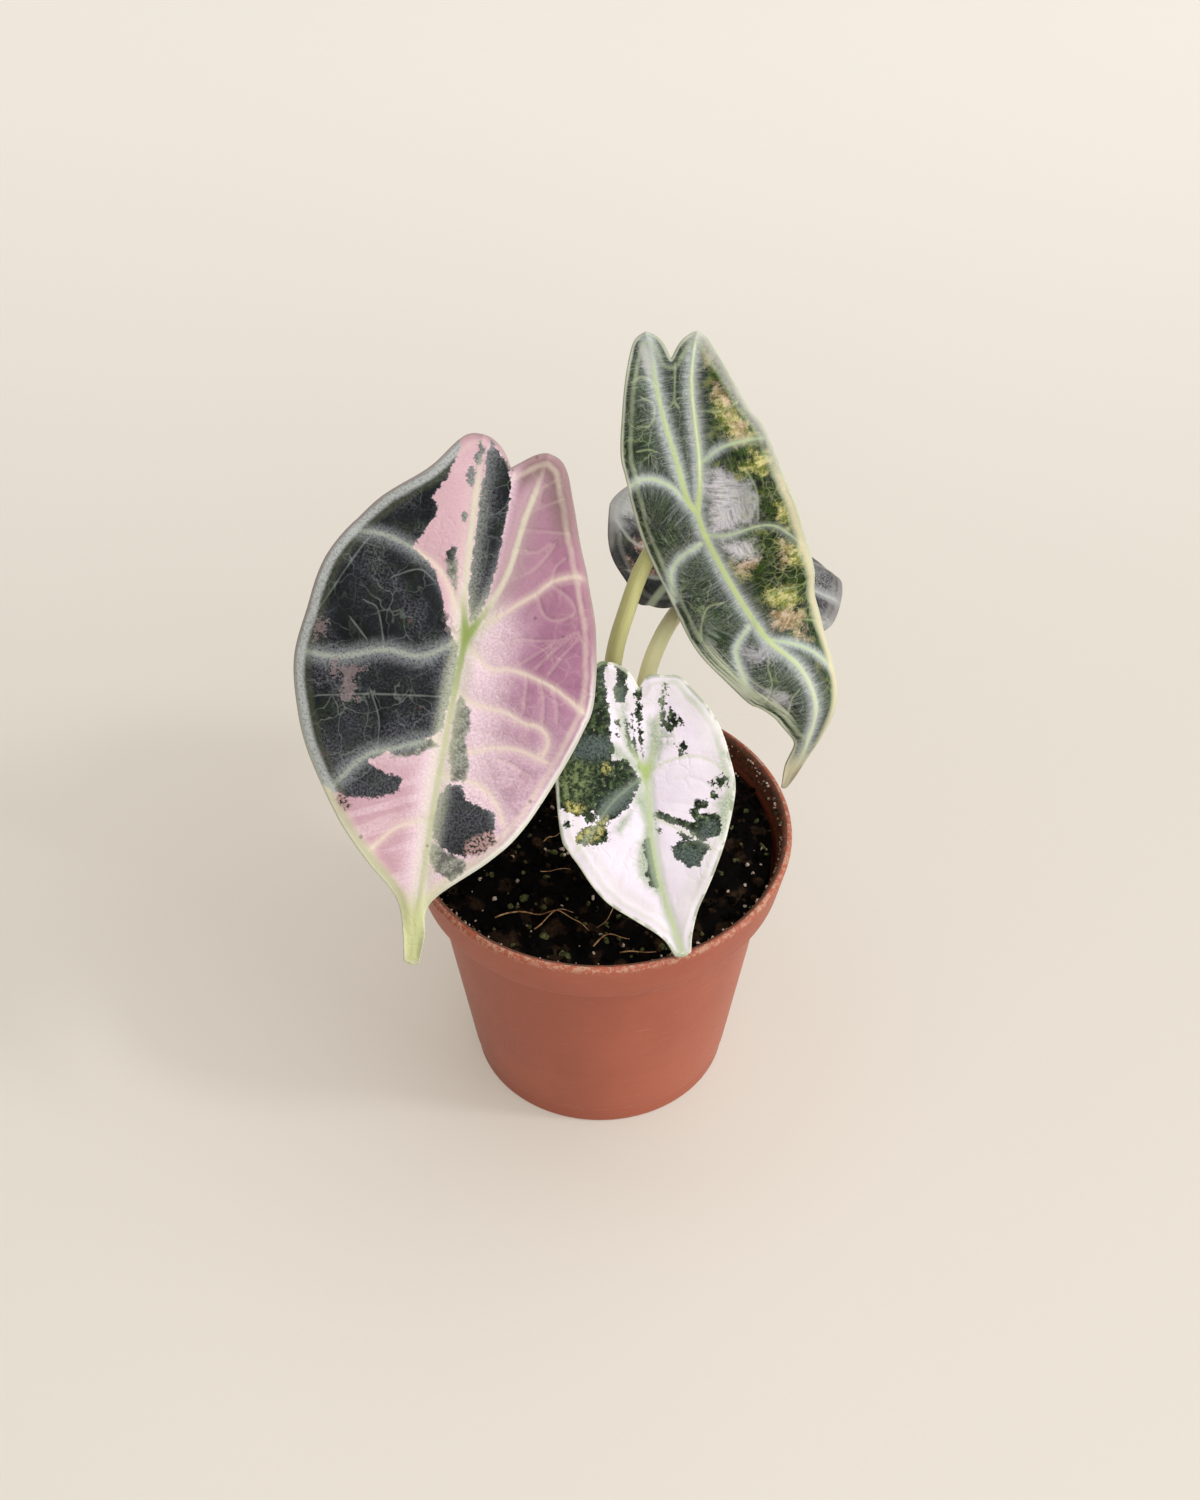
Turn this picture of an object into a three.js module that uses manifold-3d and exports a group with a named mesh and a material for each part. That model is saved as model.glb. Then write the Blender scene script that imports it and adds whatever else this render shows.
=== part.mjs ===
// Potted alocasia: a young plant with four arrow-shaped leaves in a small
// flared plastic pot. Millimetres, +Z up. The origin is the middle of the
// pot's underside, and the pot's axis is the Z axis.

import * as THREE from 'three';
import { mergeVertices } from 'three/addons/utils/BufferGeometryUtils.js';
import Module from 'manifold-3d';

const wasm = await Module();
wasm.setup();

// Driving dimensions of the pot
const POT_HEIGHT = 47.7;
const RIM_RADIUS = 30;
const LIP_THICKNESS = 1.6;
const COLLAR_HEIGHT = 8.9;
const COLLAR_TAPER = 1.5;
const COLLAR_STEP = 2.3;
const WALL = 1.3;
const FLOOR = 1.6;
const BODY_FOOT_RADIUS = 20.8;
const FOOT_HEIGHT = 3.6;
const FOOT_RADIUS = 20.2;
const POT_SIDES = 48;
const DRAIN_COUNT = 6;
const DRAIN_RADIUS = 2.2;
const DRAIN_RING_RADIUS = 13;

// Driving dimensions of the soil and of what grows in it
const GAP = 0.32;
const SOIL_LEVEL = 44.4;
const SOIL_LUMP = 0.55;
const CORM_CENTRE = new THREE.Vector3(2.1, 3.6, 31);
const CORM_RADIUS = 7.5;
const CORM_HALF_HEIGHT = 6;
const PETIOLE_FOOT_Z = CORM_CENTRE.z + CORM_HALF_HEIGHT + GAP;
const PETIOLE_BASE_RADIUS = 1.75;
const PETIOLE_TOP_RADIUS = 1.2;
const PETIOLE_SIDES = 10;
const PETIOLE_STEPS = 16;
const HOLE_TOP_Z = SOIL_LEVEL + 4;
const ELBOW = 2.6;

// Driving dimensions of the blades
const BLADE_THICKNESS = 0.7;
const MIDRIB_RELIEF = 0.75;
const VEIN_RELIEF = 0.4;
const TOP_GROOVE = 0.3;
const PUCKER = 0.22;
const ROWS_PER_STATION = 2;
const OUTER_COLUMNS = [0, 0.07, 0.22, 0.42, 0.62, 0.8, 0.93, 1];
const INNER_COLUMNS = [0, 0.25, 0.6, 1];
const WELD = 1e-4;

// A blade is laid out in its own two coordinates: u across the midrib and v
// along it, both in millimetres, with the end of the petiole at 0, 0, the tip
// at negative v and the two lobes at positive v. The spine carries v through
// space: each row is x, y, z, the roll about the spine in degrees, the slope
// of the two halves away from the midrib, and the bend across them per
// millimetre. Stations run from the tip over the junction to the ends of the
// lobes, and each rail gives one u, v point for each of its stations.
const JUNCTION = 7;
const NOTCH = 11;
const LAST = 13;

const pinkLeaf = {
  spine: [
    [-27.9, -30, 49.8, 0, 0.25, 0],
    [-24.4, -17, 69.5, 0, 0.12, -0.008],
    [-19.6, 0, 87.7, 0, 0.14, -0.008],
    [-16.2, 8, 97.1, 0, 0.12, -0.01],
    [-12.3, 19, 109, 0, 0.1, -0.01],
  ],
  junctionRow: 2,
  wave: { height: 0.45, count: 5 },
  midrib: [-49.6, -43.5, -35.5, -28, -22, -15.5, -8.2, 0],
  outerLeft: [
    [-1.1, -49.2], [-1.7, -45.3], [-3.5, -39.8], [-8.7, -34.3], [-14, -28.5],
    [-19.4, -20.7], [-22.3, -14.1], [-24, -7.7], [-23.5, -1.1], [-22.4, 6.5],
    [-17.9, 15.9], [-11.3, 22.7], [-7.8, 27.9], [-4.8, 29.5],
  ],
  outerRight: [
    [1, -49.3], [1.3, -45], [1.6, -39.8], [9.2, -32.1], [13.3, -26.8],
    [17.1, -18.1], [19.4, -11], [20.2, -5.4], [18.3, 5.3], [15.1, 12.1],
    [12.6, 16.9], [10.1, 22.7], [7.9, 27.2], [5, 29],
  ],
  ribLeft: [[0, 0], [-1.1, 3.3], [-2, 6.7], [-3, 13], [-3.7, 18.9], [-4.2, 24.4], [-4.8, 29.5]],
  ribRight: [[0, 0], [1.5, 3.2], [2.5, 6.2], [3.5, 10.7], [3.9, 18.1], [4.7, 24.1], [5, 29]],
  centre: [[0, 0], [0, 7], [0, 13.2], [0.1, 19.4], [0.2, 25.3]],
  innerLeft: [[0.2, 25.3], [-1.6, 27.7], [-4.8, 29.5]],
  innerRight: [[0.2, 25.3], [2.3, 27.1], [5, 29]],
};

const whiteLeaf = {
  spine: [
    [12.2, -27.2, 49, 0, 0.3, 0],
    [8.4, -20, 59.5, 0, 0.15, -0.008],
    [6.8, -10, 69.6, 0, 0.25, -0.014],
    [6.3, -6, 74.4, 0, 0.22, -0.014],
    [5.4, 1, 81.6, 0, 0.15, -0.012],
  ],
  junctionRow: 2,
  wave: { height: 0.3, count: 4 },
  midrib: [-28.4, -24, -20, -16, -12, -8, -4, 0],
  outerLeft: [
    [-1.1, -28], [-2.1, -24.6], [-5.1, -20.8], [-8, -17.6], [-9.9, -14.6],
    [-11.2, -12.2], [-12.4, -10.3], [-13.3, -8], [-13.3, 0.7], [-11.9, 5.5],
    [-9.6, 10.4], [-7.1, 14.9], [-5.4, 16.7], [-4.2, 17],
  ],
  outerRight: [
    [1.2, -28], [2.1, -25.6], [4, -22.4], [6.2, -19.7], [8.5, -16.3],
    [10.5, -12.1], [12.1, -7.1], [12.9, -3.1], [12.6, 0.3], [11.9, 4.3],
    [10.4, 7.9], [8.3, 11], [6.3, 13.3], [4.1, 14.2],
  ],
  ribLeft: [[0, 0], [-1.2, 2.3], [-2.3, 4.7], [-3.1, 7.7], [-3.7, 11.1], [-4, 14.1], [-4.2, 17]],
  ribRight: [[0, 0], [1.1, 2.2], [1.7, 4.4], [2.3, 6.8], [3, 9.7], [3.7, 12.2], [4.1, 14.2]],
  centre: [[0, 0], [0, 3.1], [0, 6.3], [0, 9.4], [0, 12.4]],
  innerLeft: [[0, 12.4], [-1.3, 14.9], [-4.2, 17]],
  innerRight: [[0, 12.4], [1.4, 13.9], [4.1, 14.2]],
};

const greenLeaf = {
  spine: [
    [28.4, 0.5, 56, -10, 0.2, 0],
    [31.3, -1.2, 68, -20, -0.2, -0.01],
    [32.1, -1, 75, -25, -0.4, -0.02],
    [29.7, 1, 80.4, -22, -0.35, -0.02],
    [24.6, 3.5, 84.2, -12, -0.05, -0.015],
    [18, 7.5, 94.2, -3, 0.12, -0.01],
    [14.2, 10, 102.8, 0, 0.16, -0.012],
    [12.3, 17, 112.6, 0, 0.16, -0.012],
    [10.2, 27, 123, 0, 0.12, -0.01],
  ],
  junctionRow: 6,
  wave: { height: 0.4, count: 5 },
  midrib: [-55.2, -49, -43, -36, -28, -19, -10, 0],
  outerLeft: [
    [-0.4, -55], [-1.8, -49.2], [-1.6, -43.8], [-5.3, -38.6], [-7.9, -32.1],
    [-8.8, -23.6], [-9.4, -17.5], [-8.8, -8.3], [-9.2, 4.9], [-9.6, 9.7],
    [-8.6, 15.6], [-7.2, 21.2], [-5.6, 25.4], [-3.6, 27.3],
  ],
  outerRight: [
    [0.4, -55], [1, -48.8], [2.7, -43.9], [3.6, -38.1], [5.5, -31.8],
    [8.4, -27], [11.2, -18.9], [12.6, -12.8], [13.8, -1.9], [11.7, 9.7],
    [9.4, 14.1], [7.1, 19.9], [5.3, 24.1], [3.9, 26.3],
  ],
  ribLeft: [[0, 0], [-1, 2.2], [-1.5, 6.3], [-2.6, 12.6], [-3.2, 18.5], [-3.2, 23.4], [-3.6, 27.3]],
  ribRight: [[0, 0], [1, 3.3], [1.5, 7.4], [1.6, 12.6], [1.9, 18.5], [2.8, 22.7], [3.9, 26.3]],
  centre: [[0, 0], [0.1, 5.2], [-0.2, 10.7], [-0.3, 16.6], [-0.5, 22.5]],
  innerLeft: [[-0.5, 22.5], [-1.5, 25.2], [-3.6, 27.3]],
  innerRight: [[-0.5, 22.5], [1.2, 24.7], [3.9, 26.3]],
};

const backLeaf = {
  spine: [
    [25.1, 48.5, 57.9, 204, 0.1, -0.012],
    [23.8, 44.3, 68.7, 204, 0.1, -0.012],
    [20.9, 35.1, 78.4, 204, 0.1, -0.012],
    [17, 22.8, 83.2, 204, 0.1, -0.012],
    [14.8, 15.8, 83.4, 204, 0.1, -0.012],
    [12.3, 7.9, 81.6, 204, 0.1, -0.012],
  ],
  junctionRow: 3,
  wave: { height: 0.5, count: 5 },
  midrib: [-39.3, -34.5, -29.8, -24.4, -19.1, -12.8, -6.4, 0],
  outerLeft: [
    [-0.7, -39.1], [-1.6, -36.1], [-4.7, -31.9], [-9.4, -28.3], [-13.6, -23.6],
    [-17.4, -17.4], [-19.8, -11.2], [-21, -5.3], [-20.7, 0.6], [-18.9, 6],
    [-16, 10.2], [-12.5, 13.6], [-9.4, 15.5], [-6.9, 15.8],
  ],
  outerRight: [
    [0.6, -39.1], [1.2, -36.1], [3.7, -31.9], [7.6, -28.1], [11.5, -23.2],
    [14.6, -17], [16.7, -10.6], [17.7, -4.7], [17.3, 1.3], [15.9, 6.2],
    [13.5, 10], [10.6, 13], [8.2, 14.5], [6.1, 14.7],
  ],
  ribLeft: [[0, 0], [-1.7, 2.7], [-3.1, 5.3], [-4.5, 8.5], [-5.6, 11.5], [-6.3, 13.8], [-6.9, 15.8]],
  ribRight: [[0, 0], [1.5, 2.6], [2.8, 5.1], [3.9, 7.9], [4.8, 10.4], [5.6, 12.8], [6.1, 14.7]],
  centre: [[0, 0], [0, 2.1], [0, 4.4], [0, 6.6], [0, 8.7]],
  innerLeft: [[0, 8.7], [-2.9, 13.4], [-6.9, 15.8]],
  innerRight: [[0, 8.7], [2.6, 12.6], [6.1, 14.7]],
};

// Routes of the leaf stalks, from the soil to the back of their blades
const petioleRoutes = {
  pink: [[-2, 3.2], [[-3.4, 3.8, 54], [-9, 5.6, 70]]],
  white: [[2.4, 0.2], [[2.9, 0, 52], [4.1, -1.8, 60]]],
  green: [[1.6, 6.6], [[1.5, 6.6, 60], [2, 6.8, 76.4], [3.7, 7.4, 85], [7.6, 10, 95.4]]],
  back: [[6.6, 4.8], [[6.4, 4.9, 58], [7, 7, 72.5], [9.4, 11, 77.8]]],
};

const roots = [
  { angle: 20, drop: 9, reach: 12 },
  { angle: 75, drop: 14, reach: 9 },
  { angle: 140, drop: 10, reach: 12.5 },
  { angle: 205, drop: 15, reach: 9.5 },
  { angle: 262, drop: 11, reach: 11 },
  { angle: 320, drop: 16, reach: 8 },
];
const ROOT_START_RADIUS = 1.3;
const ROOT_END_RADIUS = 0.6;

// Turns any closed geometry into a solid with shared corners
function solidFrom(geometry) {
  const bare = geometry.clone();
  bare.deleteAttribute('normal');
  bare.deleteAttribute('uv');
  const merged = mergeVertices(bare, WELD);
  const index = merged.index.array;
  const kept = [];
  for (let i = 0; i < index.length; i += 3) {
    const [a, b, c] = [index[i], index[i + 1], index[i + 2]];
    if (a !== b && b !== c && c !== a) kept.push(a, b, c);
  }
  const mesh = new wasm.Mesh({
    numProp: 3,
    vertProperties: new Float32Array(merged.attributes.position.array),
    triVerts: new Uint32Array(kept),
  });
  return new wasm.Manifold(mesh);
}

function geometryFrom(solid) {
  const mesh = solid.getMesh();
  const geometry = new THREE.BufferGeometry();
  geometry.setAttribute('position', new THREE.BufferAttribute(mesh.vertProperties, 3));
  geometry.setIndex(new THREE.BufferAttribute(mesh.triVerts, 1));
  geometry.computeVertexNormals();
  return geometry;
}

// Cubic curve through values given at increasing knots
function throughKnots(knots, values, at) {
  const last = knots.length - 1;
  let i = 0;
  while (i < last - 1 && at >= knots[i + 1]) i += 1;
  const slope = (k) => {
    const before = Math.max(k - 1, 0);
    const after = Math.min(k + 1, last);
    return (values[after] - values[before]) / (knots[after] - knots[before]);
  };
  const step = knots[i + 1] - knots[i];
  const t = (at - knots[i]) / step;
  const t2 = t * t;
  const t3 = t2 * t;
  return (2 * t3 - 3 * t2 + 1) * values[i] + (t3 - 2 * t2 + t) * step * slope(i)
    + (3 * t2 - 2 * t3) * values[i + 1] + (t3 - t2) * step * slope(i + 1);
}

// Distance along the spine at each of its rows, measured from the junction
function spineKnots(leaf) {
  const knots = [0];
  for (let i = 1; i < leaf.spine.length; i += 1) {
    const [a, b] = [leaf.spine[i - 1], leaf.spine[i]];
    knots.push(knots[i - 1] + Math.hypot(b[0] - a[0], b[1] - a[1], b[2] - a[2]));
  }
  return knots.map((knot) => knot - knots[leaf.junctionRow]);
}

// Position on the spine with its axes: along it, across the blade, and out
// of the blade's upper face
function spineFrame(leaf, v) {
  const knots = spineKnots(leaf);
  const column = (k, at) => throughKnots(knots, leaf.spine.map((row) => row[k]), at);
  const point = (at) => new THREE.Vector3(column(0, at), column(1, at), column(2, at));
  const nudge = 1e-3;
  const along = point(v + nudge).sub(point(v - nudge)).normalize();
  const across = new THREE.Vector3(1, 0, 0).addScaledVector(along, -along.x).normalize();
  const roll = THREE.MathUtils.degToRad(column(3, v));
  across.applyAxisAngle(along, -roll);
  const out = new THREE.Vector3().crossVectors(across, along);
  return { origin: point(v), along, across, out, fold: column(4, v), bend: column(5, v) };
}

// The two halves leave the midrib at a slope and then bend; the square root
// keeps the crease at the midrib soft
const CREASE = 2;
function bladePoint(leaf, u, v, lift) {
  const frame = spineFrame(leaf, v);
  const crease = Math.sqrt(u * u + CREASE * CREASE) - CREASE;
  const rise = frame.fold * crease + 0.5 * frame.bend * u * u;
  return frame.origin.addScaledVector(frame.across, u).addScaledVector(frame.out, rise + lift);
}

// Points along a rail, a fixed number of rows for each station
function sampleRail(points, first) {
  const knots = points.map((_, i) => first + i);
  const count = (points.length - 1) * ROWS_PER_STATION;
  const samples = [];
  for (let i = 0; i <= count; i += 1) {
    const at = first + i / ROWS_PER_STATION;
    samples.push([0, 1].map((k) => throughKnots(knots, points.map((p) => p[k]), at)));
  }
  return samples;
}

// The blade as four panels between a rib and an edge, on each side of the
// midrib one that runs from the tip to the end of the lobe along the outer
// margin, and one between the rib of the lobe and the middle
function bladePanels(leaf) {
  const midrib = sampleRail(leaf.midrib.map((v) => [0, v]), 0);
  const centre = sampleRail(leaf.centre, JUNCTION);
  const panels = [];
  for (const side of ['Left', 'Right']) {
    const lobeRib = sampleRail(leaf[`rib${side}`], JUNCTION);
    const inner = sampleRail(leaf[`inner${side}`], NOTCH);
    const outer = sampleRail(leaf[`outer${side}`], 0);
    panels.push({ rib: [...midrib, ...lobeRib.slice(1)], edge: outer, columns: OUTER_COLUMNS, first: 0 });
    panels.push({
      rib: lobeRib, edge: [...centre, ...inner.slice(1)], columns: INNER_COLUMNS, first: JUNCTION,
    });
  }
  return panels;
}

// How far the two faces leave the plain blade: grooves over the ribs and the
// side veins, ridges under them, a puckered surface between the veins, and
// waves that grow towards the outer margin
function reliefAt(leaf, panel, row, fraction) {
  const station = panel.first + row / ROWS_PER_STATION;
  const onVein = row % ROWS_PER_STATION === 0 && station > 1 && station < NOTCH;
  const reach = 1 - Math.abs(station - JUNCTION) / (LAST - JUNCTION + 1);
  const outward = 1 - fraction;
  const isRib = fraction === 0;
  const wave = panel.first === 0 ? fraction * fraction : 0;
  const turn = (station / LAST) * leaf.wave.count * 2 * Math.PI;
  const waveLift = wave * leaf.wave.height * Math.sin(turn);
  if (isRib) return { lift: -TOP_GROOVE, under: MIDRIB_RELIEF * Math.max(reach, 0.25) };
  if (panel.first !== 0) return { lift: fraction < 1 ? PUCKER * outward : 0, under: 0 };
  if (onVein) return { lift: waveLift - TOP_GROOVE * outward * 0.5, under: VEIN_RELIEF * outward };
  return { lift: waveLift + PUCKER * 4 * fraction * outward, under: 0 };
}

// A closed blade: the upper face, the lower face with the same triangles
// turned round, and the rim between them
function bladeSolid(leaf) {
  const positions = [];
  const lookup = new Map();
  const layout = [];
  const corner = (u, v, relief) => {
    const key = `${Math.round(u * 2000)},${Math.round(v * 2000)}`;
    if (!lookup.has(key)) {
      lookup.set(key, layout.length);
      layout.push([u, v]);
      const half = BLADE_THICKNESS / 2;
      positions.push(bladePoint(leaf, u, v, relief.lift + half));
      positions.push(bladePoint(leaf, u, v, relief.lift - half - relief.under));
    }
    return lookup.get(key);
  };
  const faces = [];
  const addFace = (a, b, c) => {
    if (a === b || b === c || c === a) return;
    const [p, q, r] = [layout[a], layout[b], layout[c]];
    const turn = (q[0] - p[0]) * (r[1] - p[1]) - (q[1] - p[1]) * (r[0] - p[0]);
    faces.push(turn > 0 ? [a, b, c] : [a, c, b]);
  };
  for (const panel of bladePanels(leaf)) {
    const grid = panel.rib.map((rib, row) => panel.columns.map((fraction) => {
      const edge = panel.edge[row];
      const [u, v] = [0, 1].map((k) => rib[k] * (1 - fraction) + edge[k] * fraction);
      return corner(u, v, reliefAt(leaf, panel, row, fraction));
    }));
    for (let i = 0; i + 1 < grid.length; i += 1) {
      for (let j = 0; j + 1 < panel.columns.length; j += 1) {
        addFace(grid[i][j], grid[i][j + 1], grid[i + 1][j + 1]);
        addFace(grid[i][j], grid[i + 1][j + 1], grid[i + 1][j]);
      }
    }
  }
  const index = [];
  const edges = new Map();
  for (const [a, b, c] of faces) {
    index.push(2 * a, 2 * b, 2 * c, 2 * a + 1, 2 * c + 1, 2 * b + 1);
    for (const [from, to] of [[a, b], [b, c], [c, a]]) edges.set(`${from},${to}`, [from, to]);
  }
  for (const [from, to] of edges.values()) {
    if (edges.has(`${to},${from}`)) continue;
    index.push(2 * from, 2 * from + 1, 2 * to + 1, 2 * from, 2 * to + 1, 2 * to);
  }
  const geometry = new THREE.BufferGeometry();
  geometry.setAttribute('position', new THREE.Float32BufferAttribute(positions.flatMap((p) => p.toArray()), 3));
  geometry.setIndex(index);
  return solidFrom(geometry);
}

// A round rod along a route. Its radius changes evenly from start to end,
// and where a cap plane is given its last ring lies in that plane.
function rodSolid(points, startRadius, endRadius, sides, steps, capPlane) {
  const curve = new THREE.CatmullRomCurve3(points, false, 'centripetal');
  const positions = [];
  const index = [];
  const side = new THREE.Vector3(1, 0, 0);
  for (let i = 0; i <= steps; i += 1) {
    const t = i / steps;
    const centre = curve.getPointAt(t);
    const along = curve.getTangentAt(t);
    side.addScaledVector(along, -side.dot(along)).normalize();
    const other = new THREE.Vector3().crossVectors(along, side);
    const radius = startRadius + (endRadius - startRadius) * Math.sqrt(t);
    for (let j = 0; j < sides; j += 1) {
      const angle = (j / sides) * 2 * Math.PI;
      const point = centre.clone().addScaledVector(side, radius * Math.cos(angle))
        .addScaledVector(other, radius * Math.sin(angle));
      if (capPlane && i === steps) {
        point.addScaledVector(along, -capPlane.distanceToPoint(point) / capPlane.normal.dot(along));
      }
      positions.push(point);
    }
  }
  const last = steps * sides;
  for (let i = 0; i < steps; i += 1) {
    for (let j = 0; j < sides; j += 1) {
      const [a, b] = [i * sides + j, i * sides + ((j + 1) % sides)];
      index.push(a, b, b + sides, a, b + sides, a + sides);
    }
  }
  for (let j = 1; j + 1 < sides; j += 1) {
    index.push(0, j + 1, j, last, last + j, last + j + 1);
  }
  const geometry = new THREE.BufferGeometry();
  geometry.setAttribute('position', new THREE.Float32BufferAttribute(positions.flatMap((p) => p.toArray()), 3));
  geometry.setIndex(index);
  return solidFrom(geometry);
}

// A stalk stands upright in the soil, turns towards its blade in an elbow and
// ends flat against the ridge under the junction, one gap away from it
function petioleSolid(leaf, [foot, bends]) {
  const frame = spineFrame(leaf, 0);
  const depth = BLADE_THICKNESS / 2 + MIDRIB_RELIEF + TOP_GROOVE + GAP;
  const end = frame.origin.clone().addScaledVector(frame.out, -depth);
  const elbow = end.clone().addScaledVector(frame.out, -ELBOW);
  const plane = new THREE.Plane().setFromNormalAndCoplanarPoint(frame.out, end);
  const route = [
    new THREE.Vector3(foot[0], foot[1], PETIOLE_FOOT_Z),
    new THREE.Vector3(foot[0], foot[1], SOIL_LEVEL),
    ...bends.map((bend) => new THREE.Vector3(...bend)),
    elbow,
    end,
  ];
  return rodSolid(route, PETIOLE_BASE_RADIUS, PETIOLE_TOP_RADIUS, PETIOLE_SIDES, PETIOLE_STEPS, plane);
}

function petioleHole([foot]) {
  const height = HOLE_TOP_Z - PETIOLE_FOOT_Z + GAP;
  const radius = PETIOLE_BASE_RADIUS + GAP / Math.cos(Math.PI / PETIOLE_SIDES) ** 2;
  const hole = new THREE.CylinderGeometry(radius, radius, height, PETIOLE_SIDES);
  hole.rotateX(Math.PI / 2);
  hole.translate(foot[0], foot[1], HOLE_TOP_Z - height / 2);
  return solidFrom(hole);
}

// The corm with its stout roots, grown by a margin where it cuts its cavity
function rootstockSolid(margin) {
  const corm = new THREE.SphereGeometry(1, 20, 12);
  corm.rotateX(Math.PI / 2);
  corm.scale(CORM_RADIUS + margin, CORM_RADIUS + margin, CORM_HALF_HEIGHT + margin);
  corm.translate(CORM_CENTRE.x, CORM_CENTRE.y, CORM_CENTRE.z);
  let solid = solidFrom(corm);
  for (const { angle, drop, reach } of roots) {
    const turn = THREE.MathUtils.degToRad(angle);
    const away = new THREE.Vector3(Math.cos(turn), Math.sin(turn), 0);
    const start = CORM_CENTRE.clone().addScaledVector(away, 3);
    const middle = CORM_CENTRE.clone().addScaledVector(away, reach * 0.85);
    middle.z -= drop * 0.35;
    const end = CORM_CENTRE.clone().addScaledVector(away, reach);
    end.z -= drop;
    end.addScaledVector(end.clone().sub(middle).normalize(), margin);
    const root = rodSolid([start, middle, end], ROOT_START_RADIUS + margin, ROOT_END_RADIUS + margin, 6, 6);
    solid = solid.add(root);
  }
  return solid;
}

// Radius of the pot's outer wall below the collar
function bodyRadius(z) {
  const collarZ = POT_HEIGHT - COLLAR_HEIGHT;
  const topRadius = RIM_RADIUS - COLLAR_TAPER - COLLAR_STEP;
  return BODY_FOOT_RADIUS + (topRadius - BODY_FOOT_RADIUS) * (z - FOOT_HEIGHT) / (collarZ - FOOT_HEIGHT);
}

// The inside of the pot from the floor's edge up to the lip
function innerProfile(margin) {
  const collarZ = POT_HEIGHT - COLLAR_HEIGHT;
  const collarRadius = RIM_RADIUS - COLLAR_TAPER - WALL - margin;
  return [
    [bodyRadius(FLOOR) - WALL - 1 - margin, FLOOR + margin],
    [bodyRadius(FLOOR + 1.2) - WALL - margin, FLOOR + 1.2 + margin],
    [bodyRadius(collarZ - 1.2) - WALL - margin, collarZ - 1.2 + margin],
    [collarRadius - 0.6, collarZ + 0.9 + margin],
    [collarRadius, collarZ + 1.9 + margin],
    [RIM_RADIUS - LIP_THICKNESS - margin, POT_HEIGHT - 0.5],
  ];
}

function latheSolid(profile) {
  const points = profile.map(([radius, z]) => new THREE.Vector2(radius, z));
  const geometry = new THREE.LatheGeometry(points, POT_SIDES);
  geometry.rotateX(Math.PI / 2);
  return geometry;
}

function potSolid() {
  const collarZ = POT_HEIGHT - COLLAR_HEIGHT;
  const inside = innerProfile(0).reverse();
  const geometry = latheSolid([
    [0, 0],
    [FOOT_RADIUS - 0.4, 0],
    [FOOT_RADIUS, 0.4],
    [BODY_FOOT_RADIUS - 0.35, FOOT_HEIGHT - 0.3],
    [BODY_FOOT_RADIUS, FOOT_HEIGHT + 0.1],
    [bodyRadius(collarZ - 0.9), collarZ - 0.9],
    [bodyRadius(collarZ) + 0.7, collarZ - 0.1],
    [RIM_RADIUS - COLLAR_TAPER, collarZ + 1.3],
    [RIM_RADIUS, POT_HEIGHT - 0.5],
    [RIM_RADIUS - 0.45, POT_HEIGHT],
    [RIM_RADIUS - LIP_THICKNESS + 0.45, POT_HEIGHT],
    ...inside,
    [0, FLOOR],
  ]);
  let pot = solidFrom(geometry);
  for (let i = 0; i < DRAIN_COUNT; i += 1) {
    const drain = new THREE.CylinderGeometry(DRAIN_RADIUS, DRAIN_RADIUS, FLOOR * 4, 12);
    drain.rotateX(Math.PI / 2);
    const turn = ((i + 0.5) / DRAIN_COUNT) * 2 * Math.PI;
    drain.translate(DRAIN_RING_RADIUS * Math.cos(turn), DRAIN_RING_RADIUS * Math.sin(turn), 0);
    pot = pot.subtract(solidFrom(drain));
  }
  return pot;
}

// Crumbs and hollows of the soil's surface, fading out at the pot's wall
function soilHeight(x, y, topRadius) {
  const inward = 1 - Math.hypot(x, y) / topRadius;
  const lumps = Math.sin(0.62 * x + 1.3) * Math.cos(0.55 * y - 0.4)
    + 0.6 * Math.sin(1.1 * x - 0.9 * y) + 0.5 * Math.cos(0.95 * y + 0.7 * x + 2);
  return SOIL_LEVEL + SOIL_LUMP * lumps * Math.min(1, 5 * inward) + 1.1 * Math.min(1, 1.6 * inward);
}

function soilSolid() {
  const walls = innerProfile(GAP).filter(([, z]) => z < SOIL_LEVEL - 1);
  const topRadius = RIM_RADIUS - COLLAR_TAPER - WALL - GAP;
  const rings = [1, 0.9, 0.78, 0.66, 0.54, 0.42, 0.3, 0.16, 0];
  const geometry = latheSolid([
    [0, walls[0][1]],
    ...walls,
    ...rings.map((ring) => [ring * topRadius, SOIL_LEVEL]),
  ]);
  const position = geometry.attributes.position;
  for (let i = 0; i < position.count; i += 1) {
    if (position.getZ(i) < SOIL_LEVEL - WELD) continue;
    position.setZ(i, soilHeight(position.getX(i), position.getY(i), topRadius));
  }
  let soil = solidFrom(geometry).subtract(rootstockSolid(GAP));
  for (const route of Object.values(petioleRoutes)) soil = soil.subtract(petioleHole(route));
  return soil;
}

function material(color, roughness) {
  return new THREE.MeshStandardMaterial({ color, roughness, metalness: 0, side: THREE.DoubleSide });
}

function part(name, solid, finish) {
  const mesh = new THREE.Mesh(geometryFrom(solid), finish);
  mesh.name = name;
  return mesh;
}

const terracottaPlastic = material(0xb5664d, 0.5);
const pottingSoil = material(0x1b1512, 0.95);
const cormSkin = material(0x6a4b33, 0.85);
const stalkGreen = material(0xb2b25f, 0.45);

const leaves = {
  pink: { shape: pinkLeaf, finish: material(0xb78a9c, 0.45) },
  white: { shape: whiteLeaf, finish: material(0xe9dfe4, 0.45) },
  green: { shape: greenLeaf, finish: material(0x3c4f34, 0.35) },
  back: { shape: backLeaf, finish: material(0x4a4248, 0.4) },
};

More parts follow.
